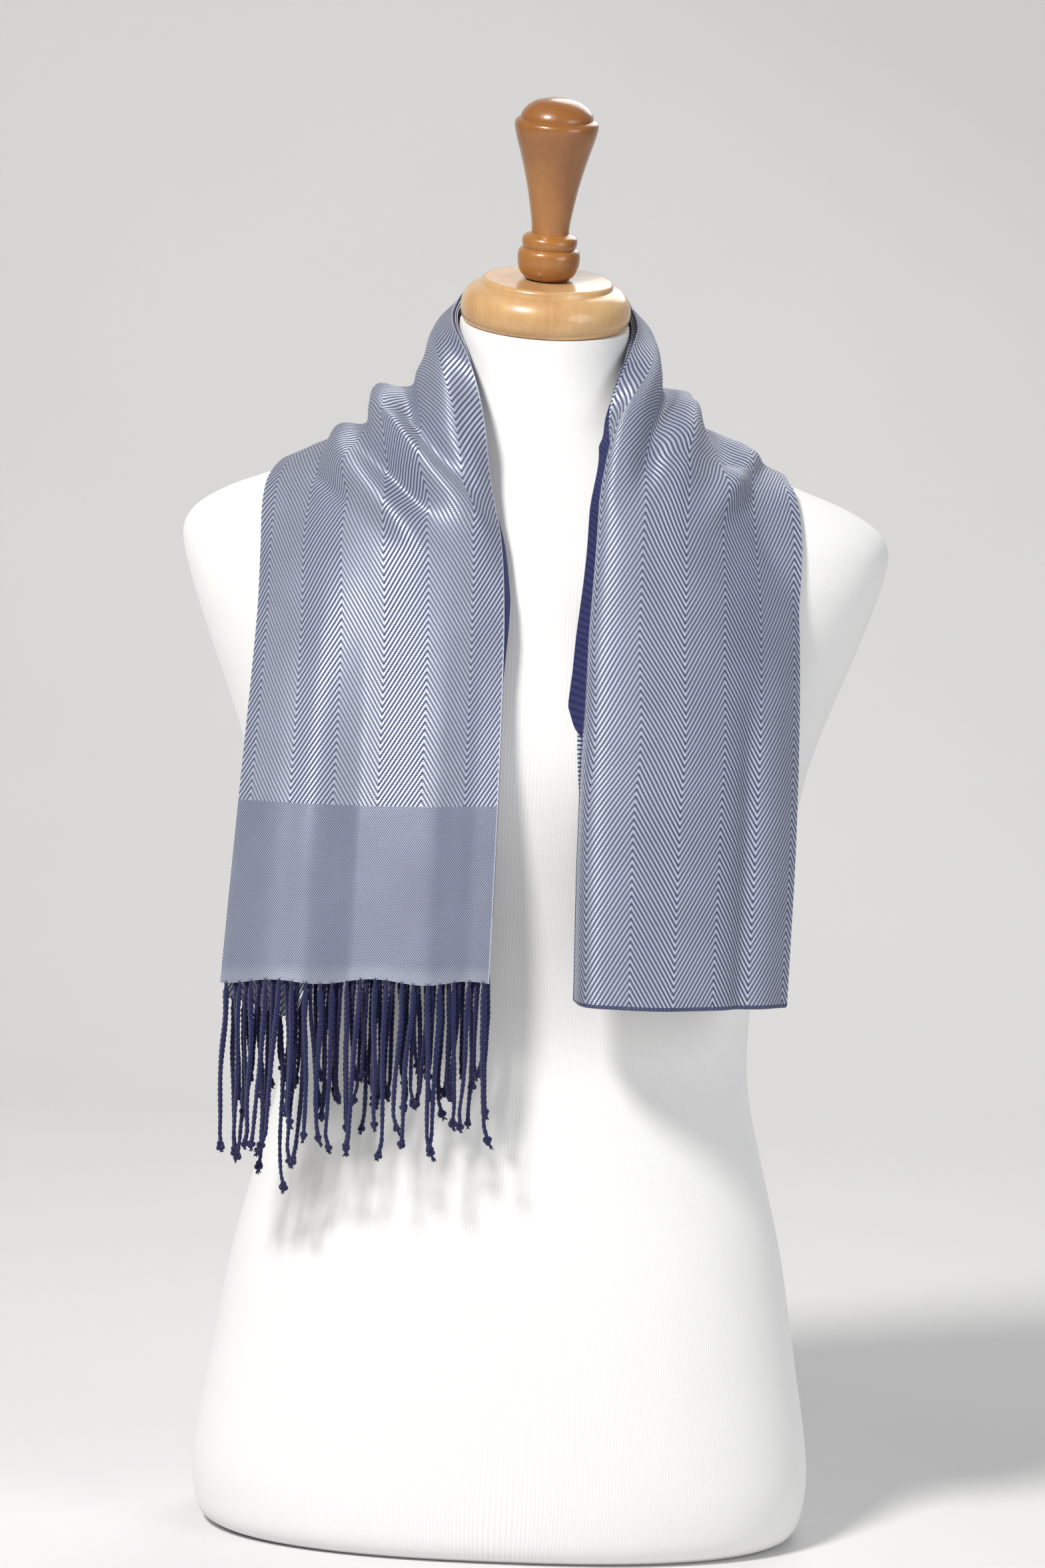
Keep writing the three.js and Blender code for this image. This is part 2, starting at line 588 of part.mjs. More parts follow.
piece('scarf_left_fall', leftFall(), FACE);
piece('scarf_neck_stretch', neckStretch(), FACE);
piece('scarf_right_fall', rightFall(), FACE);
piece('under_left_fall', underLeft(), REVERSE);
piece('under_neck_stretch', underNeck(), REVERSE);
piece('under_right_fall', underRight(), REVERSE);
piece('third_layer_end', thirdLayerEnd(), FACE);
for (const row of FRINGE_ROWS) piece(row.name, fringe(row), REVERSE);

export default part;
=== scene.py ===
import math

import bpy
import numpy as np
from bpy.props import FloatProperty, FloatVectorProperty, IntProperty, PointerProperty
from mathutils import Matrix, Vector


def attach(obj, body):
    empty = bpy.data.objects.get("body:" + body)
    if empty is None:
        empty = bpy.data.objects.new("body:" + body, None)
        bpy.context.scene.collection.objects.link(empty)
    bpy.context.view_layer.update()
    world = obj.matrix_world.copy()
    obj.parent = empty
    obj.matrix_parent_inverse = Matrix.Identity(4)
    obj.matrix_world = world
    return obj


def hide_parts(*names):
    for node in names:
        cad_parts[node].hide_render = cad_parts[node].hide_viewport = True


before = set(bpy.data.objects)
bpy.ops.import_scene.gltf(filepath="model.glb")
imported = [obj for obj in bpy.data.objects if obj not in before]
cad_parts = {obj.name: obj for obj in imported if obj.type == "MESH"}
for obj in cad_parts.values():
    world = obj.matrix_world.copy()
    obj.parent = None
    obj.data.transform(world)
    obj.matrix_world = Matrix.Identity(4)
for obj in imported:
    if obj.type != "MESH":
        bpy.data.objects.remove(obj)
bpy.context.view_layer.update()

bl_info = {
    "name": "Wool scarf on a dress form",
    "version": (1, 0, 0),
    "blender": (4, 5, 0),
    "location": "View3D > Sidebar > Scarf",
    "description": "Herringbone scarf, folded double and hung round the neck of a jersey dress form",
    "category": "Object",
}

MM = 0.001

# ---------- sizes, in millimetres
LENGTH = 970  # folded scarf, left hem to the crosswise fold
TURNED_STRIP = 17.4  # strip at the neck side that turns in towards the form
TURN_SPREAD = 10
STACK = 3.4  # all four layers
FOLD_DEPTH = STACK / 2  # centre of the crosswise fold
LAYER_DEPTHS = (0.28, 1.0, 2.1, 3.12)  # middle of each layer, counted from the front
FOLD_SLACK = 0.12  # how much the outer lengthwise fold bulges
REST_CLEARANCE = 0.6
REST_SOFTNESS = 3
HIDDEN_HEM = 38  # hems of the second and fourth layers
HEM_SCALLOP, SCALLOP_FADE = 1.2, 14
HEM_SLANT, HEM_DROP, SLANT_FADE = 6, 2.4, 160  # the neck side hangs lower than the outer side
WHOLE_BELOW = 60  # the second and third layers are whole below this run, and strips above it
END_BAND = 101  # woven band above each hem
BAND_DOTS = (1.2, 1.78)  # steps of its pale dots, across and along
COLUMN = 23.5  # one column of the herringbone
FIRST_V = 17.4  # the first foot of a V, from the neck side
ENDS_PER_COLUMN = 40
PICK, RIGHT_PICK_MORE = 0.975, 0.068  # one pick, and what it has more on the right fall
PALE_SHARE, RIGHT_FALL_SHADE = 0.53, 0.08  # pale part of each twill line, and how much less of it the right fall shows, as painted shade for that fall turned from the light
OUTER_COLUMNS = 58  # mesh columns of the outermost layers, up to their outer fold
NECK_TOP = (0, -9, 663)
GIRTH = 2 * math.pi * 135  # width of the jersey's map, once round the form
CORDS_PER_ROW = 20
CORD_STEP = 0.6
CORD_MAP, STRIPES, STRIPE_STEP = 6, 4, 1.5  # width of a cord's map, its stripes and their step along it
TWIST_SIGN = -1
PLACE_SPREAD, LENGTH_SPREAD, SWAY, HOOK, HOOK_PART = 0.14, (-12, 9), 4.2, 1.8, 9  # how the cords differ
# The grid that the drape is kept on, and the steps that work out its turned strip.
GRID_RUNS, GRID_SHARES, SHARE_RANGE, STRIP_STEPS = 771, 141, (-0.08, 1.04), 48
# Flare of the inner layers at the neck side: where it starts, from which turn, over how many degrees.
FLARE_START, FLARE_TURN, FLARE_RISE = 0.7, 40, 15

# Level sections of the form: level, half width, front, back, roundness, centre, tilt.
FORM_SECTIONS = np.array([
    [0, 155, 96, 106, 2.4, 0, 0], [4, 163, 103, 113, 2.4, 0, 0], [14, 168, 107, 117, 2.4, 0, 0],
    [40, 170, 108, 118, 2.4, 0, 0], [100, 160.5, 104, 116, 2.35, 0, 0], [157, 150.5, 98, 107, 2.3, 0, 0],
    [205, 138.5, 90, 94, 2.2, 0, 0], [240, 130, 84, 84, 2.2, 0, 0], [265, 127.5, 81, 79, 2.2, 0, 0],
    [300, 129, 84, 80, 2.2, 0, 0], [345, 137, 91.5, 87, 2.2, 0, 0], [390, 147, 99, 97, 2.2, 0, 0],
    [425, 154, 103, 104, 2.2, 0, 0], [455, 164, 102, 108, 2.15, 0, 0], [490, 177.5, 97.5, 109, 2.1, 0, 0],
    [520, 188, 93, 105, 2.05, 0, 0], [541, 193, 85, 99, 2, 0, 0], [551, 191, 80, 94, 2, 0, 0],
    [560, 183, 75, 89, 2, 0, 0], [569, 167, 70, 84, 2, 0, 0], [577, 146, 65, 79, 2, 0, 0],
    [585, 125, 60, 74, 2, 0, 0], [594, 102, 56, 69, 2, 0, 0], [604, 80, 52, 64, 2, -1, 0],
    [615, 63, 49, 58, 2, -3, 1], [628, 53, 46.5, 52, 2, -5, 4], [645, 48, 45, 48, 2, -7, 9],
    [663, 46, 44.6, 44.6, 2, -9, 14],
])
BUST = {"apart": 76, "level": 432, "wide": 46, "tall": 52, "lift": 22}
NECK_TILT = 14
NECK_LEAN = 1.2

# Folded band: run, then neck-side edge, middle and outer edge; x counts away from the centre.
LEFT_BAND = np.array([
    [0, 15, -121, 315, 84, -124, 311, 157, -103, 304], [100, 14, -125, 407, 82, -128, 404, 151, -103, 402],
    [200, 14, -113, 501, 82, -116, 500, 146, -82, 499], [250, 16, -101, 548, 82, -103, 549, 146, -58, 545],
    [290, 24, -88, 585, 83, -80, 586, 143, -30, 571], [320, 31, -75, 611, 84, -48, 607, 135, 3, 584],
    [360, 40, -49, 640, 81, -5, 624, 122, 44, 576], [400, 47, -11, 664, 71, 33, 628, 102, 77, 563],
    [440, 41, 27, 682, 53, 63, 627, 68, 101, 557], [485, 0, 50, 692, 0, 86, 624, 0, 116, 554],
], float)
RIGHT_BAND = np.array([
    [0, 24, -124, 305, 81, -126, 305, 143, -88, 305], [100, 22, -128, 401, 81, -130, 401, 144, -88, 401],
    [200, 24, -118, 495, 79, -120, 495, 142, -76, 495], [250, 26, -107, 542, 76, -108, 542, 138, -54, 540],
    [290, 28, -94, 579, 75, -86, 585, 133, -26, 570], [320, 33, -77, 604, 75, -54, 611, 129, 5, 583],
    [360, 42, -49, 635, 78, -7, 625, 118, 46, 575], [400, 47, -11, 661, 70, 34, 628, 99, 78, 563],
    [440, 41, 27, 681, 53, 63, 627, 67, 101, 557], [485, 0, 50, 692, 0, 86, 624, 0, 116, 554],
], float)

# Folded width along the band, and how far its neck-side strip turns in, in degrees.
WIDTHS = np.array([
    [0, 145, 5], [97, 142, 5], [200, 142, 8], [270, 142, 28], [330, 142, 24], [380, 141, 0], [600, 140, 0],
    [650, 139, 58], [690, 139, 80], [765, 139, 78], [830, 139, 68], [970, 139, 56],
], float)

# Rolls and valleys: from, at, to, end, wide, height, fade.
FOLDS = (
    (300, 20, 670, 20, 13, 7, 60), (276, 22, 322, 47, 8, -7.5, 40), (322, 47, 372, 55, 8, -7, 20),
    (372, 55, 600, 46, 9, -6, 30), (600, 46, 690, 40, 9, -8, 40), (262, 19, 325, 65, 10, 7.5, 30),
    (325, 65, 375, 73, 11, 8, 20), (375, 73, 600, 63, 12, 6, 30), (600, 63, 672, 62, 9, 5, 40),
    (262, 43, 310, 81, 9, -7, 26), (310, 81, 365, 92, 9, -6, 20), (365, 92, 605, 76, 11, -4, 30),
    (605, 74, 668, 98, 9, -12, 30), (244, 47, 300, 95, 11, 5, 30), (300, 95, 365, 111, 12, 4, 20),
    (365, 111, 600, 102, 14, 4, 30), (600, 102, 652, 113, 11, 5, 30), (652, 113, 695, 86, 10, 6.5, 30),
    (268, 90, 290, 107, 7, -3, 16), (290, 107, 350, 113, 7, -3, 20),
)
# The soft hang of the two falls, finer than the rolls.
SOFT_FOLDS = (
    (760, 58, 1060, 58, 17, 2.2, 90),
    (810, 106, 1060, 107, 6, -2.6, 70), (780, 124, 1060, 125, 8, 1.2, 80),
)
# The hang of the lower left fall: distance across, height.
LEFT_HANG = np.array([
    [0, 0], [6, -2.4], [13, -4.8], [18, -4.9], [24, -3.7], [30, -2.4], [34, -2.7], [44, -4.5], [54, -6],
    [64, -7.1], [71, -7.7], [75, -7.9], [78, -7.2], [86, -4.5], [94, -1.7], [99, -0.3], [103, 0], [110, 0.2],
    [118, 0.7], [124, 0.6], [131, 0.2], [139, 0],
], float)
LEFT_HANG_FADE = (130, 260)  # it dies out between these runs
# How far each inner layer stands past the front one at the neck side.
SECOND_EDGE = np.array([
    [0, 0.4], [170, 0.4], [190, 2], [215, 4], [245, 3], [270, 0.4], [622, 0.4], [645, 6], [690, 9.3],
    [806, 9.3], [818, 4.5], [822, 0.4], [970, 0.4],
])
THIRD_EDGE = np.array([[0, 0.2], [700, 0.2], [790, 3.2], [818, 3.0], [838, 1.6], [862, 0.2], [970, 0.2]])
THIRD_END_DEPTH = np.array([[-30, 4.8], [22, 4.8], [38, 2.9], [60, 2.1]])

# Fringe rows: hem, depth at the root, soon after it, and at the end; usual length; place; seed.
FRINGE_ROWS = {
    "front": (0, 0.3, 0.5, -3, 84, 0.5, 11),
    "second": (HIDDEN_HEM, 1.5, 3.1, 3.1, 96, 0.08, 22),
    "third": (0, 4.8, 5.6, 9.2, 86, 0.3, 33),
    "back": (HIDDEN_HEM, 3.4, 7.2, 13.5, 94, 0.78, 44),
}

# Each layer and the cut of what shows of it, in metres.
SHEETS = {
    "front": ("scarf_front_layer", (0.153, 0.985)),
    "second": ("scarf_second_layer", (0.02, 0.935)),
    "third": ("scarf_third_layer", (0.026, 0.96)),
    "back": ("scarf_back_layer", (0.153, 0.922)),
}


# ---------- reading the tables
def smooth(x):
    x = np.clip(x, 0, 1)
    return x * x * (3 - 2 * x)


def along(table, x):
    """The smooth curve through a table's rows, read at x: every column but the first."""
    keys, values = table[:, 0], table[:, 1:]
    x = np.clip(np.asarray(x, float), keys[0], keys[-1])
    i = np.clip(np.searchsorted(keys, x, side="right") - 1, 0, len(keys) - 2)
    row = np.arange(len(keys))
    low, high = np.maximum(row - 1, 0), np.minimum(row + 1, len(keys) - 1)
    slope = (values[high] - values[low]) / (keys[high] - keys[low])[:, None]
    step = keys[i + 1] - keys[i]
    s = (x - keys[i]) / step
    weights = (2 * s**3 - 3 * s**2 + 1, (s**3 - 2 * s**2 + s) * step,
               3 * s**2 - 2 * s**3, (s**3 - s**2) * step)
    parts = (values[i], slope[i], values[i + 1], slope[i + 1])
    return sum(w[..., None] * part for w, part in zip(weights, parts))


def straight(table, column, x):
    return np.interp(x, table[:, 0], table[:, column])


def unit(v):
    return v / np.maximum(np.linalg.norm(v, axis=-1, keepdims=True), 1e-9)


# ---------- dress form
def bust_at(x, level):
    return BUST["lift"] * np.exp(
        -(((np.abs(x) - BUST["apart"]) / BUST["wide"]) ** 2) - ((level - BUST["level"]) / BUST["tall"]) ** 2)


def form_point(level, angle):
    half, front, back, power, centre, tilt = np.moveaxis(along(FORM_SECTIONS, level), -1, 0)
    c, n = np.cos(angle), np.sin(angle)
    x = half * np.sign(c) * np.abs(c) ** (2 / power)
    y = centre + np.where(n < 0, front, back) * np.sign(n) * np.abs(n) ** (2 / power)
    y = y - np.where(n < 0, bust_at(x, level) * np.sqrt(np.maximum(-n, 0)), 0)
    lean = np.radians(NECK_LEAN * tilt / NECK_TILT)
    z = level + (y - centre) * np.tan(np.radians(tilt)) - x * np.tan(lean)
    return np.stack([x, y, z], -1)


def outside_form(p):
    """Roughly how far points lie outside the form."""
    level = p[..., 2]
    s = along(FORM_SECTIONS, level)
    for _ in range(2):
        level = p[..., 2] - (p[..., 1] - s[..., 4]) * np.tan(np.radians(s[..., 5]))
        s = along(FORM_SECTIONS, level)
    half, front, back, power, centre, _ = np.moveaxis(s, -1, 0)
    y = p[..., 1] - centre
    depth = np.where(y < 0, front + bust_at(p[..., 0], level), back)
    ratio = ((np.abs(p[..., 0]) / half) ** power + (np.abs(y) / depth) ** power) ** (1 / power)
    return (1 - 1 / np.maximum(ratio, 1e-6)) * np.hypot(p[..., 0], y)


def lift_clear(p, clearance):
    here = outside_form(p)
    uphill = np.stack([outside_form(p + step) - outside_form(p - step) for step in 0.5 * np.eye(3)], -1)
    size = np.maximum(np.linalg.norm(uphill, axis=-1), 1e-6)
    distance = here / size
    wanted = (distance + clearance + np.hypot(distance - clearance, REST_SOFTNESS)) / 2
    return p + uphill * ((wanted - distance) / size)[..., None]


# ---------- the cloth's surface
class Drape:
    """The front face of the folded band, on a fine grid of runs along it and shares across it."""

    def __init__(self):
        left, right = LEFT_BAND.copy(), RIGHT_BAND[::-1][1:].copy()
        left[:, [1, 4, 7]] *= -1
        right[:, 0] = LENGTH - right[:, 0]
        self.stations = np.vstack([left, right])
        self.runs = np.linspace(0, LENGTH, GRID_RUNS)
        self.shares = np.linspace(*SHARE_RANGE, GRID_SHARES)
        width = self.width(self.runs)
        across = width[:, None] * self.shares[None, :]
        plain = self.plain(across)
        drop = self.turned(across)[1]
        height = self.folds(FOLDS, across) + self.folds(SOFT_FOLDS, across)
        high, low = LEFT_HANG_FADE
        height += along(LEFT_HANG, across)[..., 0] * smooth((low - self.runs) / (low - high))[:, None]
        lifted = plain + self.normals(plain) * (height - drop)[..., None]
        self.points = lift_clear(lifted, STACK + REST_CLEARANCE)
        self.out = self.normals(self.points)
        steps = np.linalg.norm(np.diff(self.points, axis=1), axis=-1)
        length = np.concatenate([np.zeros((len(self.runs), 1)), np.cumsum(steps, 1)], 1)
        ends = [np.array([np.interp(s, self.shares, row) for row in length])[:, None] for s in (0, 1)]
        self.across = width[:, None] * (length - ends[0]) / (ends[1] - ends[0])
        sideways = unit(np.gradient(self.points, axis=1))
        self.table = np.concatenate([self.points, self.out, sideways, self.across[..., None]], -1)

    def width(self, runs):
        return straight(WIDTHS, 1, runs)

    def turned(self, across):
        """Where each point lies once the strip at the neck side has turned in, and how deep."""
        count = STRIP_STEPS
        angle = np.radians(straight(WIDTHS, 2, self.runs))[:, None]
        step = (TURNED_STRIP + TURN_SPREAD) / count
        place = (np.arange(count) + 0.5) * step
        here = angle * smooth((TURNED_STRIP + TURN_SPREAD - place) / (2 * TURN_SPREAD))[None, :]
        zero = np.zeros((len(self.runs), 1))
        flat = np.concatenate([zero, np.cumsum(step * np.cos(here), 1)], 1)
        deep = np.concatenate([zero, np.cumsum(step * np.sin(here), 1)], 1)
        deep = deep[:, -1:] - deep
        rows = np.arange(len(self.runs))[:, None]
        k = np.clip((across / step).astype(int), 0, count - 1)
        s = np.clip(across / step - k, 0, 1)
        inside = (flat[rows, k] + s * (flat[rows, k + 1] - flat[rows, k]),
                  deep[rows, k] + s * (deep[rows, k + 1] - deep[rows, k]))
        before, past = np.minimum(across, 0), np.maximum(across - count * step, 0)
        return inside[0] + before * np.cos(angle) + past, inside[1] - before * np.sin(angle)

    def plain(self, across):
        t = np.linspace(0, 1, 97)
        rows = along(self.stations, self.runs)
        blend = ((2 * t - 1) * (t - 1), 4 * t * (1 - t), t * (2 * t - 1))
        curves = sum(b[None, :, None] * rows[:, None, 3 * k:3 * k + 3] for k, b in enumerate(blend))
        steps = np.linalg.norm(np.diff(curves, axis=1), axis=-1)
        lengths = np.concatenate([np.zeros((len(rows), 1)), np.cumsum(steps, 1)], 1)
        lengths /= lengths[:, -1:]
        ends = self.turned(self.width(self.runs)[:, None])[0]
        reading = self.turned(across)[0] / ends
        result = np.empty(across.shape + (3,))
        for r in range(len(rows)):
            k = np.clip(np.searchsorted(lengths[r], reading[r], side="right") - 1, 0, len(t) - 2)
            s = (reading[r] - lengths[r][k]) / (lengths[r][k + 1] - lengths[r][k])
            result[r] = curves[r][k] + s[:, None] * (curves[r][k + 1] - curves[r][k])
        return result

    def folds(self, folds, across):
        run = self.runs[:, None]
        height = np.zeros_like(across)
        for first, at, last, end, wide, tall, fade in folds:
            centre = at + (end - at) * np.clip((run - first) / (last - first), -0.3, 1.3)
            ends = smooth((run - first + fade / 2) / fade) * smooth((last + fade / 2 - run) / fade)
            height += tall * ends * np.exp(-(((across - centre) / wide) ** 2))
        return height

    @staticmethod
    def normals(points):
        return unit(np.cross(np.gradient(points, axis=0), np.gradient(points, axis=1)))

    def read(self, run, share):
        """Point, outward direction, sideways direction and distance across, at any run and share."""
        run, share = np.broadcast_arrays(np.asarray(run, float), np.asarray(share, float))
        r = np.clip(run, 0, LENGTH) / LENGTH * (len(self.runs) - 1)
        c = (share - self.shares[0]) / (self.shares[-1] - self.shares[0]) * (len(self.shares) - 1)
        i = np.clip(r.astype(int), 0, len(self.runs) - 2)
        j = np.clip(c.astype(int), 0, len(self.shares) - 2)
        a, b = (r - i)[..., None], (c - j)[..., None]
        near = self.table[i, j] * (1 - b) + self.table[i, j + 1] * b
        far = self.table[i + 1, j] * (1 - b) + self.table[i + 1, j + 1] * b
        spot = near * (1 - a) + far * a
        point, out, side, u = spot[..., 0:3], unit(spot[..., 3:6]), unit(spot[..., 6:9]), spot[..., 9]
        below = np.minimum(run, 0)[..., None]
        return point + below * np.array([0, 0, 1.0]), out, side, u


DOWN = np.array([0, 0, -1.0])


def row_hem(row, share):
    """Where a row's cloth ends. The third layer's corner hangs below the front hem at the outer side."""
    if row != "third":
        return FRINGE_ROWS[row][0] + 0 * share
    return -6 - 12 * smooth((0.99 - share) / 0.3) + 33 * smooth((0.735 - share) / 0.13)


def hem_wave(share, run):
    """Shallow scallops at the hem and a slant across it, which die out above it."""
    scallops = HEM_SCALLOP * np.sin(share * 17 + 0.6) * (1 - smooth(run / SCALLOP_FADE))
    return scallops + (HEM_SLANT * share - HEM_DROP) * (1 - smooth(run / SLANT_FADE))


# ---------- meshes
def deselect():
    if bpy.context.object and bpy.context.object.mode != "OBJECT":
        bpy.ops.object.mode_set(mode="OBJECT")
    bpy.ops.object.select_all(action="DESELECT")


def linked(name, data):
    thing = bpy.data.objects.new(name, data)
    bpy.context.scene.collection.objects.link(thing)
    return thing


def fan(ring, middle, turn):
    """Quads that close a ring of vertices round a middle one."""
    pairs = ring.reshape(-1, 2)
    third = np.roll(ring, -2).reshape(-1, 2)[:, 0]
    return np.stack([np.full(len(pairs), middle), pairs[:, 0], pairs[:, 1], third], -1)[:, ::turn]


def make_piece(name, points, faces, uv, materials, face_materials=None, sharp=None):
    """A mesh piece from points in millimetres, with a UV map in metres along the surface."""
    mesh = bpy.data.meshes.new(name)
    mesh.vertices.add(len(points))
    mesh.vertices.foreach_set("co", (points * MM).astype(np.float32).ravel())
    mesh.loops.add(faces.size)
    mesh.loops.foreach_set("vertex_index", faces.astype(np.int32).ravel())
    mesh.polygons.add(len(faces))
    mesh.polygons.foreach_set("loop_start", np.arange(0, faces.size, faces.shape[1], dtype=np.int32))
    mesh.polygons.foreach_set("use_smooth", np.ones(len(faces), bool))
    for material in materials:
        mesh.materials.append(material)
    if face_materials is not None:
        mesh.polygons.foreach_set("material_index", face_materials.astype(np.int32))
    mesh.update(calc_edges=True)
    corners = uv[faces.ravel()] * MM
    mesh.uv_layers.new(name="cloth").data.foreach_set("uv", corners.astype(np.float32).ravel())
    if mesh.validate():
        raise RuntimeError(name + " has faces that don't hold together")
    if sharp:
        mesh.set_sharp_from_angle(angle=math.radians(sharp))
    return linked(name, mesh)


class Shells:
    """Closed thin cloths, gathered into one mesh: front faces, back faces and rims."""

    def __init__(self):
        self.points, self.uv, self.faces, self.kinds, self.count = [], [], [], [], 0

    def add(self, middle, normal, u, run, thickness):
        rows, columns = middle.shape[:2]
        half = normal * (thickness / 2)
        self.points += [(middle + half).reshape(-1, 3), (middle - half).reshape(-1, 3)]
        self.uv += [np.stack([u, run + 0 * u], -1).reshape(-1, 2)] * 2
        at = self.count + np.arange(rows * columns).reshape(rows, columns)
        back = at + rows * columns

        def quads(kind, *corners):
            self.faces.append(np.stack([corner.ravel() for corner in corners], -1))
            self.kinds.append(np.full(corners[0].size, kind))

        quads(0, at[:-1, :-1], at[1:, :-1], at[1:, 1:], at[:-1, 1:])
        quads(1, back[:-1, :-1], back[:-1, 1:], back[1:, 1:], back[1:, :-1])
        quads(2, at[:-1, 0], back[:-1, 0], back[1:, 0], at[1:, 0])
        quads(2, at[:-1, -1], at[1:, -1], back[1:, -1], back[:-1, -1])
        quads(2, at[0, :-1], at[0, 1:], back[0, 1:], back[0, :-1])
        quads(2, at[-1, :-1], back[-1, :-1], back[-1, 1:], at[-1, 1:])
        self.count += 2 * rows * columns

    def piece(self, name, *finishes):
        """The finishes are those of the front, the back and the rim."""
        return make_piece(name, np.concatenate(self.points), np.concatenate(self.faces),
                          np.concatenate(self.uv), finishes, np.concatenate(self.kinds), sharp=55)


def folded_rows(drape, rows, shares, depth, normal_out=1.0, normal_side=0.0, aside=0.0, edge=None):
    """One cloth over rows of (run, turn), where turn is how far round the crosswise fold it lies.
    depth, normal_out, normal_side and aside say where each column of it lies in the stack."""
    run = np.array([row[0] for row in rows], float)[:, None]
    turn = np.radians(np.array([row[1] for row in rows], float))[:, None, None]
    share = np.broadcast_to(shares, (len(rows), len(shares)))
    width = straight(WIDTHS, 1, run)
    if edge is not None:  # columns before the neck side reach this far past it
        reach = np.where(share < 0, -share, 0) * straight(edge, 1, run)
        share = np.where(share < 0, -reach / width, share)
    point, out, side, u = drape.read(run, share)
    if edge is not None:  # on the turned strip they flare towards the chest's middle instead
        start = drape.read(run, -FLARE_START / width + 0 * share)[0]
        flared = start + reach[..., None] * unit(np.array([-1.0, 0, 0]) - 0.2 * side)
        amount = (smooth((straight(WIDTHS, 2, run) - FLARE_TURN) / FLARE_RISE) * (reach > 0))[..., None]
        point = point + (flared - point) * amount
        out = unit(out + (np.array([0, -1.0, 0]) - out) * amount * 0.8)
    depth, normal_out, normal_side, aside = (
        np.broadcast_to(value, share.shape)[..., None] for value in (depth, normal_out, normal_side, aside))
    radial = out * np.cos(turn) + DOWN * np.sin(turn)
    middle = point - out * FOLD_DEPTH + radial * (FOLD_DEPTH - depth) + side * aside
    middle[..., 2] += hem_wave(share, run + 0 * share) * (turn[..., 0] == 0)
    return middle, unit(radial * normal_out + side * normal_side), u, run


def outer_fold_columns(depth, next_depth):
    """Columns of a layer that goes round the outer lengthwise fold into the next layer: share, depth,
    outward and sideways part of the normal, distance aside, and distance past the outer edge."""
    centre, radius = (depth + next_depth) / 2, (next_depth - depth) / 2 + FOLD_SLACK
    columns = [(share, depth, 1, 0, 0, 0) for share in np.linspace(0, 1, OUTER_COLUMNS + 1)]
    for angle in np.radians(np.arange(22.5, 180, 22.5)):
        out, side = math.cos(angle), math.sin(angle)
        columns.append((1, centre - radius * out, out, side, radius * side, angle * radius))
    columns += [(1 - 0.018 * k, next_depth, -1, 0, 0, math.pi * radius + 2.5 * k) for k in range(6)]
    return np.array(columns, float).T


# ---------- node building
class Nodes:
    """A short way to write a material's or a group's nodes."""

    def __init__(self, tree):
        self.tree = tree

    def new(self, kind, **settings):
        node = self.tree.nodes.new(kind)
        for key, value in settings.items():
            setattr(node, key, value)
        return node

    def put(self, socket, value):
        if isinstance(value, bpy.types.NodeSocket):
            self.tree.links.new(value, socket)
        else:
            socket.default_value = value

    def fill(self, node, values):
        for key, value in values.items():
            self.put(node.inputs[key], value)
        return node.outputs

    def math(self, operation, *values):
        return self.fill(self.new("ShaderNodeMath", operation=operation), dict(enumerate(values)))[0]

    def add(self, a, b):
        return self.math("ADD", a, b)

    def sub(self, a, b):
        return self.math("SUBTRACT", a, b)

    def mul(self, a, b):
        return self.math("MULTIPLY", a, b)

    def div(self, a, b):
        return self.math("DIVIDE", a, b)

    def inverse(self, value):
        return self.sub(1.0, value)

    def choose(self, amount, a, b):
        """The first value where the amount is 0, the second where it is 1."""
        return self.add(self.mul(a, self.inverse(amount)), self.mul(b, amount))

    def mix(self, amount, a, b):
        return self.fill(self.new("ShaderNodeMix", data_type="RGBA"), {0: amount, 6: a, 7: b})[2]

    def fade(self, *values):
        """value, low, high and what they become, 0 and 1 unless given."""
        node = self.new("ShaderNodeMapRange", interpolation_type="SMOOTHSTEP")
        return self.fill(node, dict(enumerate(values)))[0]

    def noise(self, vector, scale, detail=2.0, rough=0.5):
        values = {"Vector": vector, "Scale": scale, "Detail": detail, "Roughness": rough}
        return self.fill(self.new("ShaderNodeTexNoise"), values)["Fac"]

    def mapped(self, vector, **values):
        return self.fill(self.new("ShaderNodeMapping"), {"Vector": vector, **values})[0]

    def object_place(self):
        return self.new("ShaderNodeTexCoord").outputs["Object"]

    def surface(self):
        return self.new("ShaderNodeUVMap", uv_map="cloth").outputs[0]

    def millimetres(self, surface):
        parts = self.fill(self.new("ShaderNodeSeparateXYZ"), {0: surface})
        return self.mul(parts[0], 1000.0), self.mul(parts[1], 1000.0)

    def cos_of(self, value, period):
        return self.math("COSINE", self.mul(value, 2 * math.pi / period))

    def bump(self, height, strength, distance):
        values = {"Height": height, "Strength": strength, "Distance": distance}
        return self.fill(self.new("ShaderNodeBump"), values)[0]

    def group(self, group, **values):
        values = {key.replace("_", " "): value for key, value in values.items()}
        return self.fill(self.new("ShaderNodeGroup", node_tree=group), values)


def new_group(name, inputs, outputs):
    tree = bpy.data.node_groups.new(name, "ShaderNodeTree")
    for label, kind, value in inputs:
        socket = tree.interface.new_socket(name=label, in_out="INPUT", socket_type=kind)
        if value is not None:
            socket.default_value = value
    for label, kind in outputs:
        tree.interface.new_socket(name=label, in_out="OUTPUT", socket_type=kind)
    nodes = Nodes(tree)
    start, end = nodes.new("NodeGroupInput"), nodes.new("NodeGroupOutput")
    return tree, nodes, start.outputs, end.inputs


def new_material(name, **sockets):
    material = bpy.data.materials.new(name)
    material.use_nodes = True
    nodes = Nodes(material.node_tree)
    shader = material.node_tree.nodes["Principled BSDF"]
    for label, value in sockets.items():
        shader.inputs[label.replace("_", " ")].default_value = value
    return material, nodes, shader


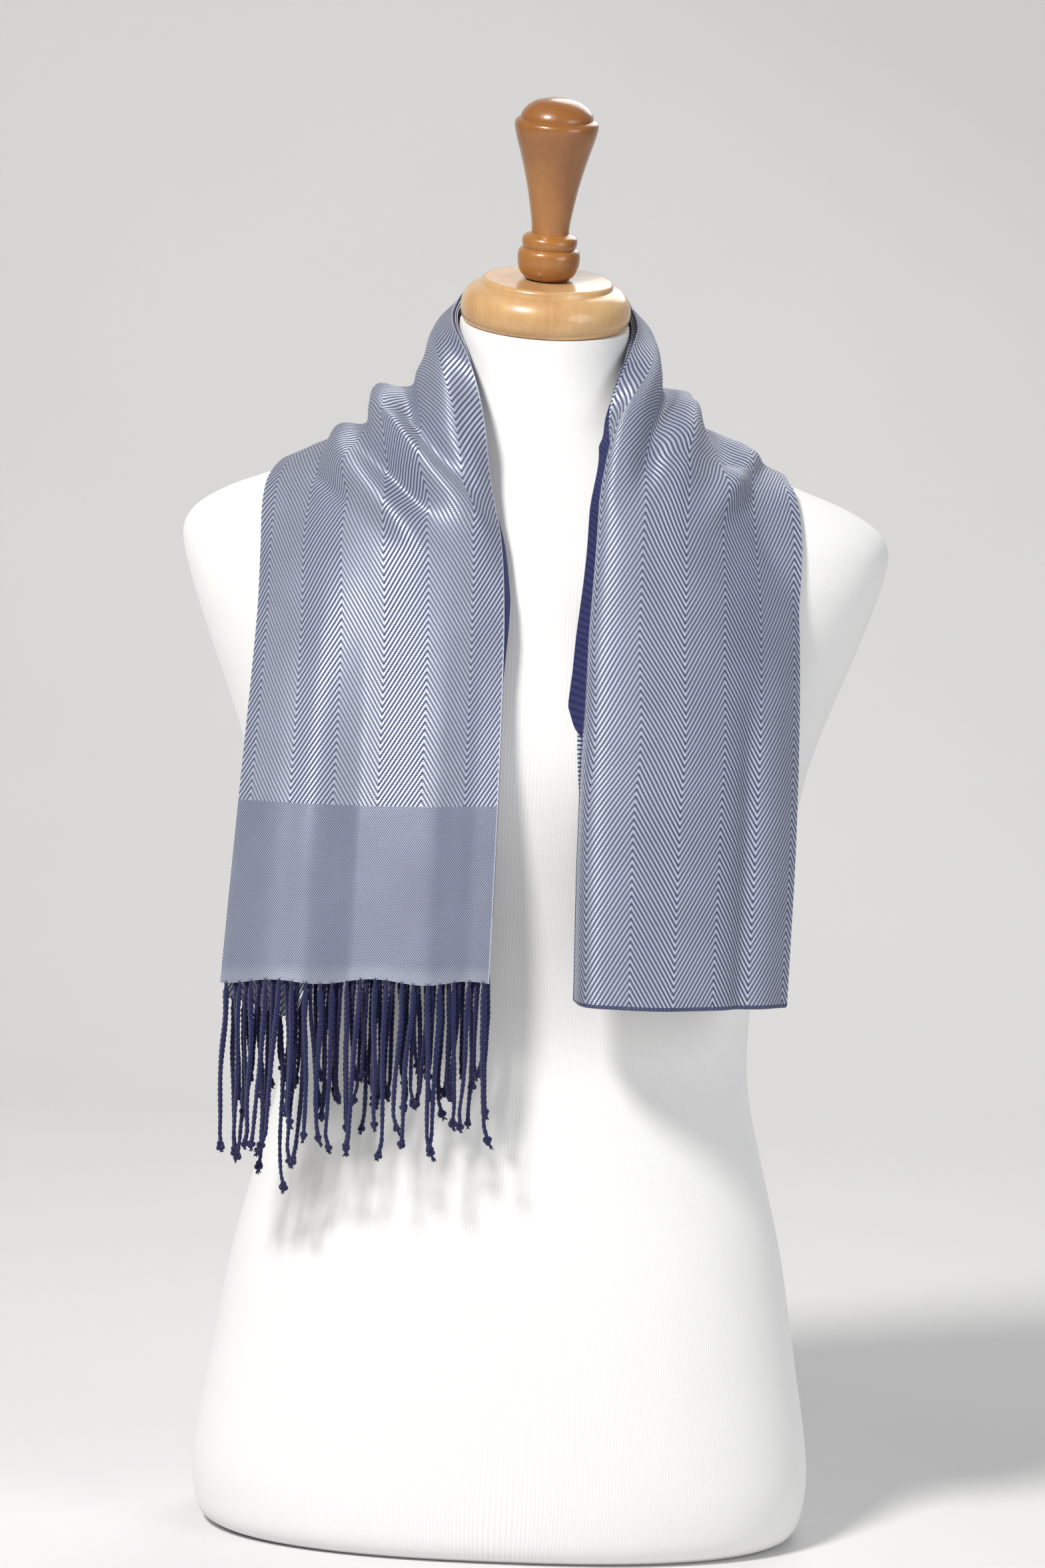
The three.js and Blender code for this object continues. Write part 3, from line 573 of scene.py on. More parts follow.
def colour(value, factor=1.0, lift=0.0):
    return (*(min(1.0, factor * c + lift) for c in value), 1.0)


# ---------- finishes
def twill_group():
    """Two-and-two twill in mirrored columns: where the pale picks lie on top, and the threads' height."""
    tree, n, given, out = new_group("herringbone_twill", [
        ("Surface", "NodeSocketVector", None), ("Mirror Length", "NodeSocketFloat", float(LENGTH)),
        ("Pick", "NodeSocketFloat", PICK), ("Pale Share", "NodeSocketFloat", PALE_SHARE)],
        [("Pale", "NodeSocketFloat"), ("Height", "NodeSocketFloat")])
    u, v = n.millimetres(given["Surface"])
    thread = COLUMN / ENDS_PER_COLUMN
    end_at = n.div(u, thread)
    pick_at = n.div(n.math("MINIMUM", v, n.sub(given["Mirror Length"], v)), given["Pick"])

    def climb(place):
        """How many picks the twill has climbed at a place across the cloth."""
        turn = n.math("FLOORED_MODULO", n.div(n.add(place, COLUMN - FIRST_V), COLUMN), 2.0)
        return n.mul(n.math("ABSOLUTE", n.sub(turn, 1.0)), float(ENDS_PER_COLUMN))

    def bulge(place):
        """How high a round thread stands across its width."""
        across = n.sub(n.mul(n.math("FRACT", place), 2.0), 1.0)
        return n.inverse(n.mul(across, across))

    climbed = n.math("ROUND", climb(n.mul(n.math("FLOOR", end_at), thread)))
    step = n.math("FLOORED_MODULO", n.sub(n.math("FLOOR", pick_at), climbed), 4.0)
    beads = n.math("LESS_THAN", step, 1.5)
    line = n.math("FRACT", n.div(n.sub(pick_at, climb(u)), 4.0))
    share = given["Pale Share"]
    lines = n.mul(n.fade(line, 0.0, 0.12), n.fade(line, share, n.add(share, 0.14), 1.0, 0.0))
    pale = n.add(n.mul(beads, 0.38), n.mul(lines, 0.62))
    n.put(out["Pale"], pale)
    n.put(out["Height"], n.choose(pale, n.mul(bulge(end_at), 0.6), bulge(pick_at)))
    return tree


def fibre_group():
    """Slow and fine unevenness of a yarn-made cloth, around one."""
    tree, n, given, out = new_group("yarn_unevenness", [
        ("Surface", "NodeSocketVector", None), ("Amount", "NodeSocketFloat", 0.1)],
        [("Tone", "NodeSocketFloat")])
    slow, fine = n.noise(given["Surface"], 28.0, 3.0), n.noise(given["Surface"], 900.0, 2.0)
    both = n.add(n.sub(slow, 0.5), n.mul(n.sub(fine, 0.5), 0.9))
    n.put(out["Tone"], n.add(1.0, n.mul(both, n.mul(given["Amount"], 2.0))))
    return tree


def shared_group(name, make):
    return bpy.data.node_groups.get(name) or make()


def herringbone(n, **values):
    return n.group(shared_group("herringbone_twill", twill_group), **values)


def toned(n, surface, amount, base):
    """A cloth's colour with its yarns' unevenness."""
    uneven = n.group(shared_group("yarn_unevenness", fibre_group), Surface=surface, Amount=amount)
    return n.fill(n.new("ShaderNodeVectorMath", operation="SCALE"), {0: base, 3: uneven["Tone"]})[0]


def scarf_face(looks):
    """The herringbone side: silver picks on navy ends, a woven end band and a selvedge."""
    material, n, shader = new_material("scarf_face", Sheen_Weight=0.15, Sheen_Roughness=0.35,
                                       Specular_IOR_Level=0.55, Anisotropic=0.8, Anisotropic_Rotation=0.25)
    surface = n.surface()
    tangent = n.new("ShaderNodeTangent", direction_type="UV_MAP", uv_map="cloth").outputs[0]
    u, v = n.millimetres(surface)
    right = n.math("GREATER_THAN", v, LENGTH / 2)
    # the picks lie a little further apart on the right fall, with less of them on top as painted shade, for
    # that fall turned from the light
    weave = herringbone(n, Surface=surface, Pick=n.add(PICK, n.mul(right, RIGHT_PICK_MORE)),
                        Pale_Share=n.sub(PALE_SHARE, n.mul(right, RIGHT_FALL_SHADE)))
    # end band: a lattice of pale dots
    across, up = BAND_DOTS
    slanted = n.cos_of(n.add(n.div(u, across), n.div(v, up)), 1.0)
    lattice = n.add(n.mul(n.cos_of(u, across), n.cos_of(v, up)), n.mul(0.35, slanted))
    dots = n.fade(lattice, -0.15, 0.75)
    in_band = n.math("LESS_THAN", v, float(END_BAND))
    band_mask = n.add(n.mul(dots, 0.72), n.fade(v, 2.0, 12.0, 0.3, 0.14))
    # selvedge: a pale cord along the neck side, dotted on the right fall
    dotted = n.math("MAXIMUM", n.fade(n.cos_of(v, 2.4), -0.35, 0.1), n.mul(n.inverse(right), 0.9))
    selvedge = n.math("LESS_THAN", u, n.add(0.6, n.mul(right, 0.5)))
    mask = n.choose(selvedge, n.choose(in_band, weave["Pale"], band_mask), dotted)
    # painted shade at the foot of the right fall, where the cloth turns under round the crosswise fold: dark
    # ends between short picks
    foot = n.math("GREATER_THAN", v, LENGTH - 0.7)
    fold_underside_shade = n.fade(n.cos_of(u, 2 * COLUMN / ENDS_PER_COLUMN), 0.2, 0.9, 1.0, 0.55)
    mask = n.mul(mask, n.inverse(n.mul(foot, fold_underside_shade)))
    base = n.mix(mask, colour(looks.warp_colour), colour(looks.weft_colour))
    n.fill(shader, {
        "Base Color": toned(n, surface, 0.13, base),
        "Tangent": tangent,
        "Roughness": n.fade(mask, 0.0, 1.0, 0.62, 0.46),
        "Metallic": n.mul(mask, n.add(0.6, n.mul(in_band, 0.25))),
        "Normal": n.bump(n.choose(in_band, weave["Height"], dots), 0.6, 0.0003)})
    return material


def scarf_reverse(looks):
    """The navy side, with the twill only just showing."""
    material, n, shader = new_material("scarf_reverse", Roughness=0.88, Sheen_Weight=0.3,
                                       Sheen_Roughness=0.5, Specular_IOR_Level=0.25)
    surface = n.surface()
    weave = herringbone(n, Surface=surface)
    navy, pale = colour(looks.reverse_colour), colour(looks.reverse_colour, 2.1, 0.012)
    base = n.mix(n.mul(weave["Pale"], 0.55), navy, pale)
    n.fill(shader, {"Base Color": toned(n, surface, 0.2, base),
                    "Normal": n.bump(weave["Height"], 0.4, 0.00025)})
    return material


def fringe_yarn(looks):
    """Twisted navy yarn: stripes that wind round the cord, with painted shade in the grooves between them
    and a painted highlight on their crowns, and fine fibres.
    """
    material, n, shader = new_material("fringe_yarn", Roughness=0.85, Sheen_Weight=0.15,
                                       Sheen_Roughness=0.45, Specular_IOR_Level=0.25)
    surface = n.surface()
    navy = colour(looks.fringe_colour)
    # dark is painted shade for the grooves between the plies; pale is a painted highlight on their crowns,
    # and the colour of the loose fibres
    dark, pale = colour(looks.fringe_colour, 0.3), colour(looks.fringe_colour, 2.0, 0.01)
    u, v = n.millimetres(surface)
    strand = n.cos_of(n.sub(n.div(v, STRIPE_STEP), n.mul(u, TWIST_SIGN * STRIPES / CORD_MAP)), 1.0)
    # painted shade in the grooves, painted highlight on the crowns
    base = n.mix(n.fade(strand, -0.9, 0.2), dark, n.mix(n.fade(strand, 0.3, 1.0, 0.0, 0.5), navy, pale))
    fibre = n.noise(n.mapped(surface, Scale=(4000.0, 900.0, 1.0)), 1.0, 2.0)
    base = n.mix(n.fade(fibre, 0.5, 0.75, 0.0, 0.55), base, pale)
    n.fill(shader, {"Base Color": toned(n, surface, 0.25, base),
                    "Normal": n.bump(n.add(n.mul(fibre, 0.4), strand), 0.6, 0.0004)})
    return material


def knitted_jersey(looks):
    """White jersey: fine upright ribs and fainter courses, with painted shade in their grooves."""
    material, n, shader = new_material("white_jersey", Roughness=0.9, Sheen_Weight=0.15,
                                       Sheen_Roughness=0.5, Specular_IOR_Level=0.2)
    surface = n.surface()
    u, v = n.millimetres(surface)
    wander = n.noise(n.mapped(surface, Scale=(60.0, 12.0, 1.0)), 1.0, 2.0)
    rib, course = n.cos_of(n.add(u, n.mul(wander, 1.4)), 1.35), n.cos_of(v, 1.15)
    height = n.add(n.mul(rib, 0.7), n.mul(course, 0.22))
    # painted shade: the knit's grooves are a little darker than its crowns
    groove_shade = colour([c * g for c, g in zip(looks.jersey_colour, (0.93, 0.932, 0.935))])
    base = n.mix(n.fade(height, -0.8, 0.2), groove_shade, colour(looks.jersey_colour))
    n.fill(shader, {"Base Color": toned(n, surface, 0.02, base), "Normal": n.bump(height, 0.22, 0.00014)})
    return material


# Woods: light and dark colour, scale of the growth bands.
WOODS = {
    "pale_maple": ((0.68, 0.43, 0.20), (0.47, 0.25, 0.095), 12.0),
    "honey_wood": ((0.38, 0.155, 0.030), (0.235, 0.078, 0.013), 16.0),
}


def turned_wood(name):
    """Varnished turned wood: grain that runs up the piece, over soft growth bands."""
    light, dark, band_scale = WOODS[name]
    material, n, shader = new_material(name, Coat_Weight=0.6, Coat_Roughness=0.14, Specular_IOR_Level=0.5)
    place = n.mapped(n.object_place(), Rotation=(math.radians(NECK_TILT), 0.0, 0.0))

    def grained(stretch, *look):
        return n.noise(n.mapped(place, Scale=(1.0, 1.0, stretch)), *look)

    bands = n.fade(n.math("SINE", n.mul(grained(0.12, band_scale, 2.0, 0.45), 26.0)), -1.0, 1.0)
    streaks, fine = grained(0.05, 260.0, 3.0, 0.6), grained(0.03, 1100.0, 2.0)
    grain = n.add(n.mul(bands, 0.38), n.add(n.mul(streaks, 0.5), n.mul(fine, 0.3)))
    n.fill(shader, {"Base Color": n.mix(n.fade(grain, 0.15, 1.1), colour(light), colour(dark)),
                    "Roughness": n.fade(fine, 0.2, 0.8, 0.3, 0.42),
                    "Normal": n.bump(fine, 0.08, 0.0001)})
    return material


def stage_paper(looks):
    """Pale paper that shows from its front only."""
    material, n, shader = new_material("pale_paper", Roughness=0.95, Specular_IOR_Level=0.1)
    cloudy = n.fade(n.noise(n.object_place(), 3.0, 2.0), 0.3, 0.7)
    base = n.mix(cloudy, colour(looks.floor_colour), colour(looks.floor_colour, 0.985))
    backs = n.new("ShaderNodeNewGeometry").outputs["Backfacing"]
    n.fill(shader, {"Base Color": base, "Alpha": n.inverse(backs)})
    return material


# ---------- shared by the operators
made = {}


def drape_now():
    if "drape" not in made:
        made["drape"] = Drape()
    return made["drape"]


def finish_of(name, make, *given):
    if name not in made:
        made[name] = make(*given)
    return made[name]


def cloth_finishes(looks):
    return (finish_of("scarf_face", scarf_face, looks), finish_of("scarf_reverse", scarf_reverse, looks),
            finish_of("fringe_yarn", fringe_yarn, looks))


# ---------- properties
def length_value(name, description, default, low, high):
    return FloatProperty(name=name, description=description, default=default, min=low, max=high,
                         unit="LENGTH", precision=5)


def colour_value(name, description, *default):
    return FloatVectorProperty(name=name, description=description, default=default, subtype="COLOR",
                               min=0, max=1)


class ScarfSizes(bpy.types.PropertyGroup):
    cloth_thickness: length_value("Cloth thickness", "One layer of the twill", 0.00052, 0.0002, 0.001)
    cord_thickness: length_value("Cord thickness", "Across one twisted fringe cord", 0.0025, 0.001, 0.004)
    twist: length_value("Twist", "Length of one full turn of the two plies", 0.006, 0.0015, 0.01)
    grid: length_value("Mesh step", "Spacing of the cloth's mesh", 0.0024, 0.001, 0.01)
    spin_steps: IntProperty(name="Turning steps", description="Facets round the turned pieces",
                            default=96, min=24, max=256)


class ScarfLooks(bpy.types.PropertyGroup):
    weft_colour: colour_value("Silver picks", "The pale threads of the face", 0.57, 0.605, 0.70)
    warp_colour: colour_value("Navy ends", "The dark threads of the face", 0.030, 0.038, 0.115)
    reverse_colour: colour_value("Reverse", "The navy side of the cloth", 0.016, 0.019, 0.075)
    fringe_colour: colour_value("Fringe", "The twisted cords", 0.018, 0.021, 0.098)
    jersey_colour: colour_value("Jersey", "The form's cover", 0.86, 0.855, 0.845)
    floor_colour: colour_value("Floor", "The paper sweep", 0.78, 0.775, 0.765)


# ---------- operators
class SCARF_OT_dress_form(bpy.types.Operator):
    """Make the jersey-covered torso of the dress form"""
    bl_idname = "scarf.dress_form"
    bl_label = "Dress form"

    def execute(self, context):
        sides = 192
        levels = np.concatenate([[0, 0.6, 2], np.linspace(4, 40, 13), np.linspace(46, 520, 96),
                                 np.linspace(523, 604, 40), np.linspace(607, 663, 20)])[:, None]
        steps = np.arange(sides)
        rings = form_point(levels + 0 * steps, 2 * math.pi * steps / sides + 0 * levels)
        points = np.concatenate([rings.reshape(-1, 3), rings[[0, -1]].mean(1)])
        at = np.arange(len(levels) * sides).reshape(len(levels), sides)
        nxt = np.roll(at, -1, 1)
        faces = [np.stack([at[:-1], nxt[:-1], nxt[1:], at[1:]], -1).reshape(-1, 4),
                 fan(at[0], len(points) - 2, -1), fan(at[-1], len(points) - 1, 1)]
        uv = np.stack(np.broadcast_arrays(GIRTH * steps / sides, levels), -1).reshape(-1, 2)
        uv = np.concatenate([uv, [[0, levels[0, 0]], [0, levels[-1, 0]]]])
        jersey = finish_of("white_jersey", knitted_jersey, context.scene.scarf_looks)
        form = make_piece("dress_form", points, np.concatenate(faces), uv, [jersey], sharp=50)
        # the last rib column joins the first, so its map runs on instead of back
        layer = form.data.uv_layers["cloth"]
        uvs = np.empty(len(form.data.loops) * 2, np.float32)
        layer.data.foreach_get("uv", uvs)
        u = uvs.reshape(-1, 4, 2)[..., 0]
        wide = u.max(1) - u.min(1) > 0.4
        u[wide] = np.where(u[wide] < 0.1, u[wide] + GIRTH * MM, u[wide])
        layer.data.foreach_set("uv", uvs)
        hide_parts("form_torso")
        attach(form, "root")
        return {"FINISHED"}


# Turned profiles: radius, height, for spinning about the neck's axis.
CAP_PROFILE = (
    (0, 0), (43.6, 0), (44.7, 0.9), (45.6, 2.8), (46.15, 5.4), (46.3, 8), (46.1, 10.6), (45.4, 13),
    (44.2, 15.5), (42.4, 17.6), (40.6, 19.1), (38.6, 20), (36.9, 20.4), (36.1, 20.7), (35.8, 21.3),
    (35.7, 22.2), (35.3, 23.2), (34.4, 23.9), (33, 24), (0, 24))
FINIAL_PROFILE = (
    (0, 0), (10.6, 0), (12.2, 0.5), (14.6, 2.7), (15.9, 5), (16.6, 7.8), (16.95, 10.6), (16.9, 13),
    (16.5, 15), (15.6, 16.4), (14.7, 16.9), (14.2, 17.2), (14.3, 17.6), (14.8, 18.5), (15, 20),
    (14.95, 21.4), (14.5, 22.8), (13.6, 23.7), (12.3, 24.1), (11, 24.5), (10.3, 25.2), (10.15, 26.5),
    (10.5, 31), (12, 40), (13.9, 50), (16.1, 59), (18.6, 68), (20.9, 75.5), (22, 79.5), (22.6, 82.6),
    (22.6, 84), (22.2, 85.6), (21.3, 86.5), (20, 86.8), (19.55, 87.2), (19.6, 88), (19.3, 89.3),
    (18, 91.6), (15.6, 94), (12, 96.2), (7, 97.6), (0, 98))
# Turned pieces: name, profile, height above the neck's top, wood, node, slot.
TURNED = (
    ("turned_cap", CAP_PROFILE, 0.3, "pale_maple", "neck_cap", "maple"),
    ("turned_finial", FINIAL_PROFILE, 24.6, "honey_wood", "finial", "honey_wood"),
)


def spin_piece(name, profile, steps, base, axis, material):
    """Spin a profile about the neck's axis in edit mode, closed at its poles."""
    deselect()
    mesh = bpy.data.meshes.new(name)
    edges = [(k, k + 1) for k in range(len(profile) - 1)]
    mesh.from_pydata([(r * MM, 0, h * MM) for r, h in profile], edges, [])
    piece = linked(name, mesh)
    bpy.context.view_layer.objects.active = piece
    piece.select_set(True)
    bpy.ops.object.mode_set(mode="EDIT")
    bpy.ops.mesh.select_all(action="SELECT")
    bpy.ops.mesh.spin(steps=steps, angle=2 * math.pi, center=(0, 0, 0), axis=(0, 0, 1))
    bpy.ops.mesh.select_all(action="SELECT")
    bpy.ops.mesh.remove_doubles(threshold=1e-5)
    bpy.ops.mesh.normals_make_consistent(inside=False)
    bpy.ops.object.mode_set(mode="OBJECT")
    upright = Vector((0, 0, 1)).rotation_difference(axis)
    piece.matrix_world = Matrix.Translation(base) @ upright.to_matrix().to_4x4()
    bpy.ops.object.transform_apply(location=True, rotation=True, scale=True)
    bpy.ops.object.shade_smooth_by_angle(angle=math.radians(38))
    piece.data.materials.append(material)
    piece.select_set(False)
    return piece


class SCARF_OT_turned_wood(bpy.types.Operator):
    """Turn the neck cap and the finial"""
    bl_idname = "scarf.turned_wood"
    bl_label = "Neck cap and finial"

    def execute(self, context):
        steps = context.scene.scarf_sizes.spin_steps
        lean, tilt = (math.tan(math.radians(angle)) for angle in (NECK_LEAN, NECK_TILT))
        axis = Vector((lean, -tilt, 1)).normalized()
        for name, profile, height, wood, node, slot in TURNED:
            base = Vector(NECK_TOP) * MM + axis * height * MM
            piece = spin_piece(name, profile, steps, base, axis, finish_of(wood, turned_wood, wood))
            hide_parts(node)
            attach(piece, "root")
        return {"FINISHED"}


def run_rows(first, last, step, turn=0):
    count = max(int(round(abs(last - first) / step)), 1)
    return [(run, turn) for run in np.linspace(first, last, count + 1)]


FOOT_TURNS = [(LENGTH, angle) for angle in (20, 40, 60, 80, 100, 120, 140, 160)]
LIP_RUN = 958  # the front layer ends this far up behind the foot of the right fall


class SCARF_OT_outer_layers(bpy.types.Operator):
    """Drape the front layer, round the foot of the right fall and up again as the fourth layer"""
    bl_idname = "scarf.outer_layers"
    bl_label = "Front and back layers"

    def execute(self, context):
        sizes, drape = context.scene.scarf_sizes, drape_now()
        face, reverse, _ = cloth_finishes(context.scene.scarf_looks)
        step = sizes.grid / MM
        first, second, _, _ = LAYER_DEPTHS
        *columns, past = outer_fold_columns(first, second)

        def cloth(name, rows):
            middle, normal, u, run = folded_rows(drape, rows, *columns)
            in_fold = np.arange(len(past)) > OUTER_COLUMNS
            u = np.where(in_fold, u[:, [OUTER_COLUMNS]] + past, u)
            shells = Shells()
            shells.add(middle, normal, u, run, sizes.cloth_thickness / MM)
            return shells.piece(name, face, reverse, face)

        rows = [(run, 0) for run in (0, 0.8, 1.8)] + run_rows(3.2, LENGTH, step) + FOOT_TURNS
        front = cloth("scarf_front_layer", rows + run_rows(LENGTH, LIP_RUN, step, 180))
        rows = run_rows(LIP_RUN, HIDDEN_HEM + 1, step * 1.25, 180) + [(HIDDEN_HEM, 180)]
        back = cloth("scarf_back_layer", rows)
        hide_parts("scarf_left_fall", "scarf_neck_stretch", "scarf_right_fall")
        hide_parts("under_left_fall", "under_neck_stretch", "under_right_fall")
        for piece, slot in ((front, "scarf_face"), (back, "scarf_reverse")):
            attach(piece, "root")
        return {"FINISHED"}


# Columns of the inner layers' strips: up to 0 past the neck side, then shares of the width.
INNER_STRIP = np.array([-1, -0.7, -0.4, -0.15, 0.001, 0.008, 0.016, 0.03, 0.045, 0.06, 0.075, 0.09, 0.105])


class SCARF_OT_inner_layers(bpy.types.Operator):
    """Drape what shows of the second and third layers: their neck-side edges and their hems"""
    bl_idname = "scarf.inner_layers"
    bl_label = "Second and third layers"

    def execute(self, context):
        sizes, drape = context.scene.scarf_sizes, drape_now()
        face, reverse, _ = cloth_finishes(context.scene.scarf_looks)
        thick, step = sizes.cloth_thickness / MM, sizes.grid / MM
        _, second, third, _ = LAYER_DEPTHS
        full = np.linspace(0, 1, 65)

        inner = Shells()
        rows = run_rows(HIDDEN_HEM, LENGTH, step) + FOOT_TURNS
        inner.add(*folded_rows(drape, rows, INNER_STRIP, second, edge=SECOND_EDGE), thick)
        inner.add(*folded_rows(drape, run_rows(HIDDEN_HEM, WHOLE_BELOW, step), full, second), thick)
        second_layer = inner.piece("scarf_second_layer", reverse, face, reverse)

        outer = Shells()
        rows = run_rows(WHOLE_BELOW, LENGTH, step) + FOOT_TURNS[:3]
        outer.add(*folded_rows(drape, rows, INNER_STRIP, third, edge=THIRD_EDGE), thick)
        foot = row_hem("third", full)
        run = foot + np.linspace(0, 1, 30)[:, None] * (WHOLE_BELOW - foot)
        point, out, _, u = drape.read(run, full + 0 * run)
        point = point - out * straight(THIRD_END_DEPTH, 1, run)[..., None]
        # the hem's corner shows the herringbone
        outer.add(point, Drape.normals(point), u, run + 3 * END_BAND, thick)
        third_layer = outer.piece("scarf_third_layer", face, reverse, face)
        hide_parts("under_neck_stretch")
        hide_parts("third_layer_end")
        for piece, slot in ((second_layer, "scarf_reverse"), (third_layer, "scarf_face")):
            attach(piece, "root")
        return {"FINISHED"}


class Yarns:
    """Twisted cords, knots and loose ends, gathered into one mesh."""

    def __init__(self):
        self.points, self.faces, self.uv, self.count = [], [], [], 0

    def tube(self, path, across, section, length):
        """path (n,3); across (n,3) sideways; section (n,k,2) sideways and forward of the path."""
        tangent = unit(np.gradient(path, axis=0))
        side = unit(across - tangent * np.sum(across * tangent, -1, keepdims=True))
        ahead = np.cross(side, tangent)
        ring = path[:, None] + section[..., :1] * side[:, None] + section[..., 1:] * ahead[:, None]
        n, k = section.shape[:2]
        at = self.count + np.arange(n * k).reshape(n, k)
        nxt = np.roll(at, -1, 1)
        self.count += n * k + 2
        self.faces += [np.stack([at[:-1], at[1:], nxt[1:], nxt[:-1]], -1).reshape(-1, 4),
                       fan(at[0], self.count - 2, 1), fan(at[-1], self.count - 1, -1)]
        self.points += [ring.reshape(-1, 3), path[[0, -1]]]
        around = np.linspace(0, CORD_MAP, k, endpoint=False)
        self.uv += [np.stack(np.broadcast_arrays(around, length[:, None]), -1).reshape(-1, 2),
                    np.array([[0, length[0]], [0, length[-1]]])]

    def piece(self, name, material):
        return make_piece(name, np.concatenate(self.points), np.concatenate(self.faces),
                          np.concatenate(self.uv), [material])


def round_section(sides, radii):
    angle = np.arange(sides) * 2 * math.pi / sides
    return radii[:, None, None] * np.stack([np.cos(angle), np.sin(angle)], -1)


def twisted(yarns, path, across, radius, pitch, start):
    """A cord of two plies: a ten-point section with two lobes that turns along the path."""
    steps = np.concatenate([[0], np.cumsum(np.linalg.norm(np.diff(path, axis=0), axis=-1))])
    angle = math.pi / 2 + np.arange(10) * math.pi / 5
    turned = (start + TWIST_SIGN * 2 * math.pi * steps / pitch)[:, None]
    reach = radius[:, None] * (0.88 + 0.12 * np.cos(2 * (angle - turned)))
    yarns.tube(path, across, np.stack([reach * np.cos(angle), reach * np.sin(angle)], -1), steps)


def root_ends(yarns, path, side, random):
    """Warp ends that gather from the hem into the cord."""
    t = np.linspace(0, 1, 5)
    reach = np.minimum((t * 7 / CORD_STEP).astype(int), len(path) - 1)
    for k in range(4):
        spread = (k - 1.5) * 0.9 + random.uniform(-0.3, 0.3)
        line = path[reach] + side[reach] * (spread * (1 - t) ** 1.6)[:, None]
        line[0] += np.array([0, 0, 0.6])
        yarns.tube(line, side[reach], round_section(4, 0.34 * (1 - 0.4 * t)), t * 9)


def knot(yarns, end, down, side, random):
    """A small overhand knot with a frayed tail."""
    ahead = unit(np.cross(side, down))
    side = unit(np.cross(down, ahead))
    size = random.uniform(0.95, 1.25)
    t = np.linspace(0, 2 * math.pi, 37)
    turn = random.uniform(0, 2 * math.pi)
    a = size * 0.78 * (np.sin(t + turn) + 2 * np.sin(2 * t + turn))
    b = size * 0.62 * (np.cos(t + turn) - 2 * np.cos(2 * t + turn))
    c = -size * 0.75 * np.sin(3 * t)
    middle = end + down * 1.3 * size
    path = middle + side * (0.62 * a)[:, None] + down * (0.9 * b)[:, None] + ahead * (0.8 * c)[:, None]
    section = round_section(6, np.full(37, 0.78 * size))
    yarns.tube(path, np.broadcast_to(ahead, path.shape), section, np.linspace(0, 16, 37))
    tail, lean = random.uniform(2.2, 4.4), random.uniform(-0.35, 0.35)
    t = np.linspace(0, 1, 6)
    for _ in range(9):
        away = side * (lean + random.uniform(-0.18, 0.18)) + ahead * random.uniform(-0.18, 0.18)
        curl = random.uniform(-1.0, 1.0)
        line = (middle + down * (0.9 + t * tail * random.uniform(0.65, 1.05))[:, None]
                + away * (t * tail)[:, None] + side * (curl * t**2)[:, None])
        yarns.tube(line, np.broadcast_to(side, line.shape), round_section(4, 0.5 * (1 - 0.55 * t)), t * tail)


def fringe_row(row, drape, sizes, yarn):
    """One row of cords, each with its own length, sway and hook at the end."""
    _, head, soon, end, usual, place, seed = FRINGE_ROWS[row]
    random = np.random.default_rng(seed)
    radius, pitch = sizes.cord_thickness / MM / 2, sizes.twist / MM
    yarns = Yarns()
    for i in range(CORDS_PER_ROW):
        share = (i + place + random.uniform(-PLACE_SPREAD, PLACE_SPREAD)) / CORDS_PER_ROW
        share = min(max(share, 0.012), 0.988)
        root = float(row_hem(row, share)) + 0.9
        length = usual + random.uniform(*LENGTH_SPREAD)
        fall = np.arange(0, length, CORD_STEP)
        part = fall / usual
        depth = head + (soon - head) * smooth(fall / 14) + (end - soon) * part
        depth = depth + random.uniform(-0.35, 0.35) * np.sin(math.pi * np.clip(part, 0, 1))
        point, out, side, _ = drape.read(root - fall, np.full_like(fall, share))
        path = point - out * depth[:, None]
        if row == "front":
            path[:, 2] += hem_wave(share, 0.0)
        sway = random.uniform(-SWAY, SWAY) * part**1.3 + random.uniform(0.3, 1.1) * np.sin(
            random.uniform(0, 6) + part * random.uniform(4, 8)) * smooth(fall / 25)
        hook = random.uniform(-HOOK, HOOK) * smooth((fall - length + HOOK_PART) / HOOK_PART) ** 2
        path = path + side * (sway + hook)[:, None]
        path[:, 1] += random.uniform(-0.5, 0.5) * part
        size = radius * (1 + 0.07 * np.sin(fall * random.uniform(0.2, 0.5) + random.uniform(0, 6)))
        size = size * (0.35 + smooth(fall / 7) - 0.42 * smooth(fall / usual))
        size = size * (1 + random.uniform(-0.08, 0.08))
        twisted(yarns, path, side, size, pitch * random.uniform(0.92, 1.1), random.uniform(0, 6))
        root_ends(yarns, path, side, random)
        knot(yarns, path[-1], unit(path[-1] - path[-6]), side[-1], random)
    return yarns.piece("fringe_cords_" + row, yarn)


class SCARF_OT_fringe(bpy.types.Operator):
    """Twist and knot the four rows of fringe cords"""
    bl_idname = "scarf.fringe"
    bl_label = "Fringe"

    def execute(self, context):
        sizes, drape = context.scene.scarf_sizes, drape_now()
        yarn = cloth_finishes(context.scene.scarf_looks)[2]
        for row in FRINGE_ROWS:
            piece = fringe_row(row, drape, sizes, yarn)
            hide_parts("fringe_" + row)
            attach(piece, "root")
            layer, flat = SHEETS[row]
            if layer not in bpy.data.objects:
                raise RuntimeError("the fringe needs " + layer + " first")
        return {"FINISHED"}


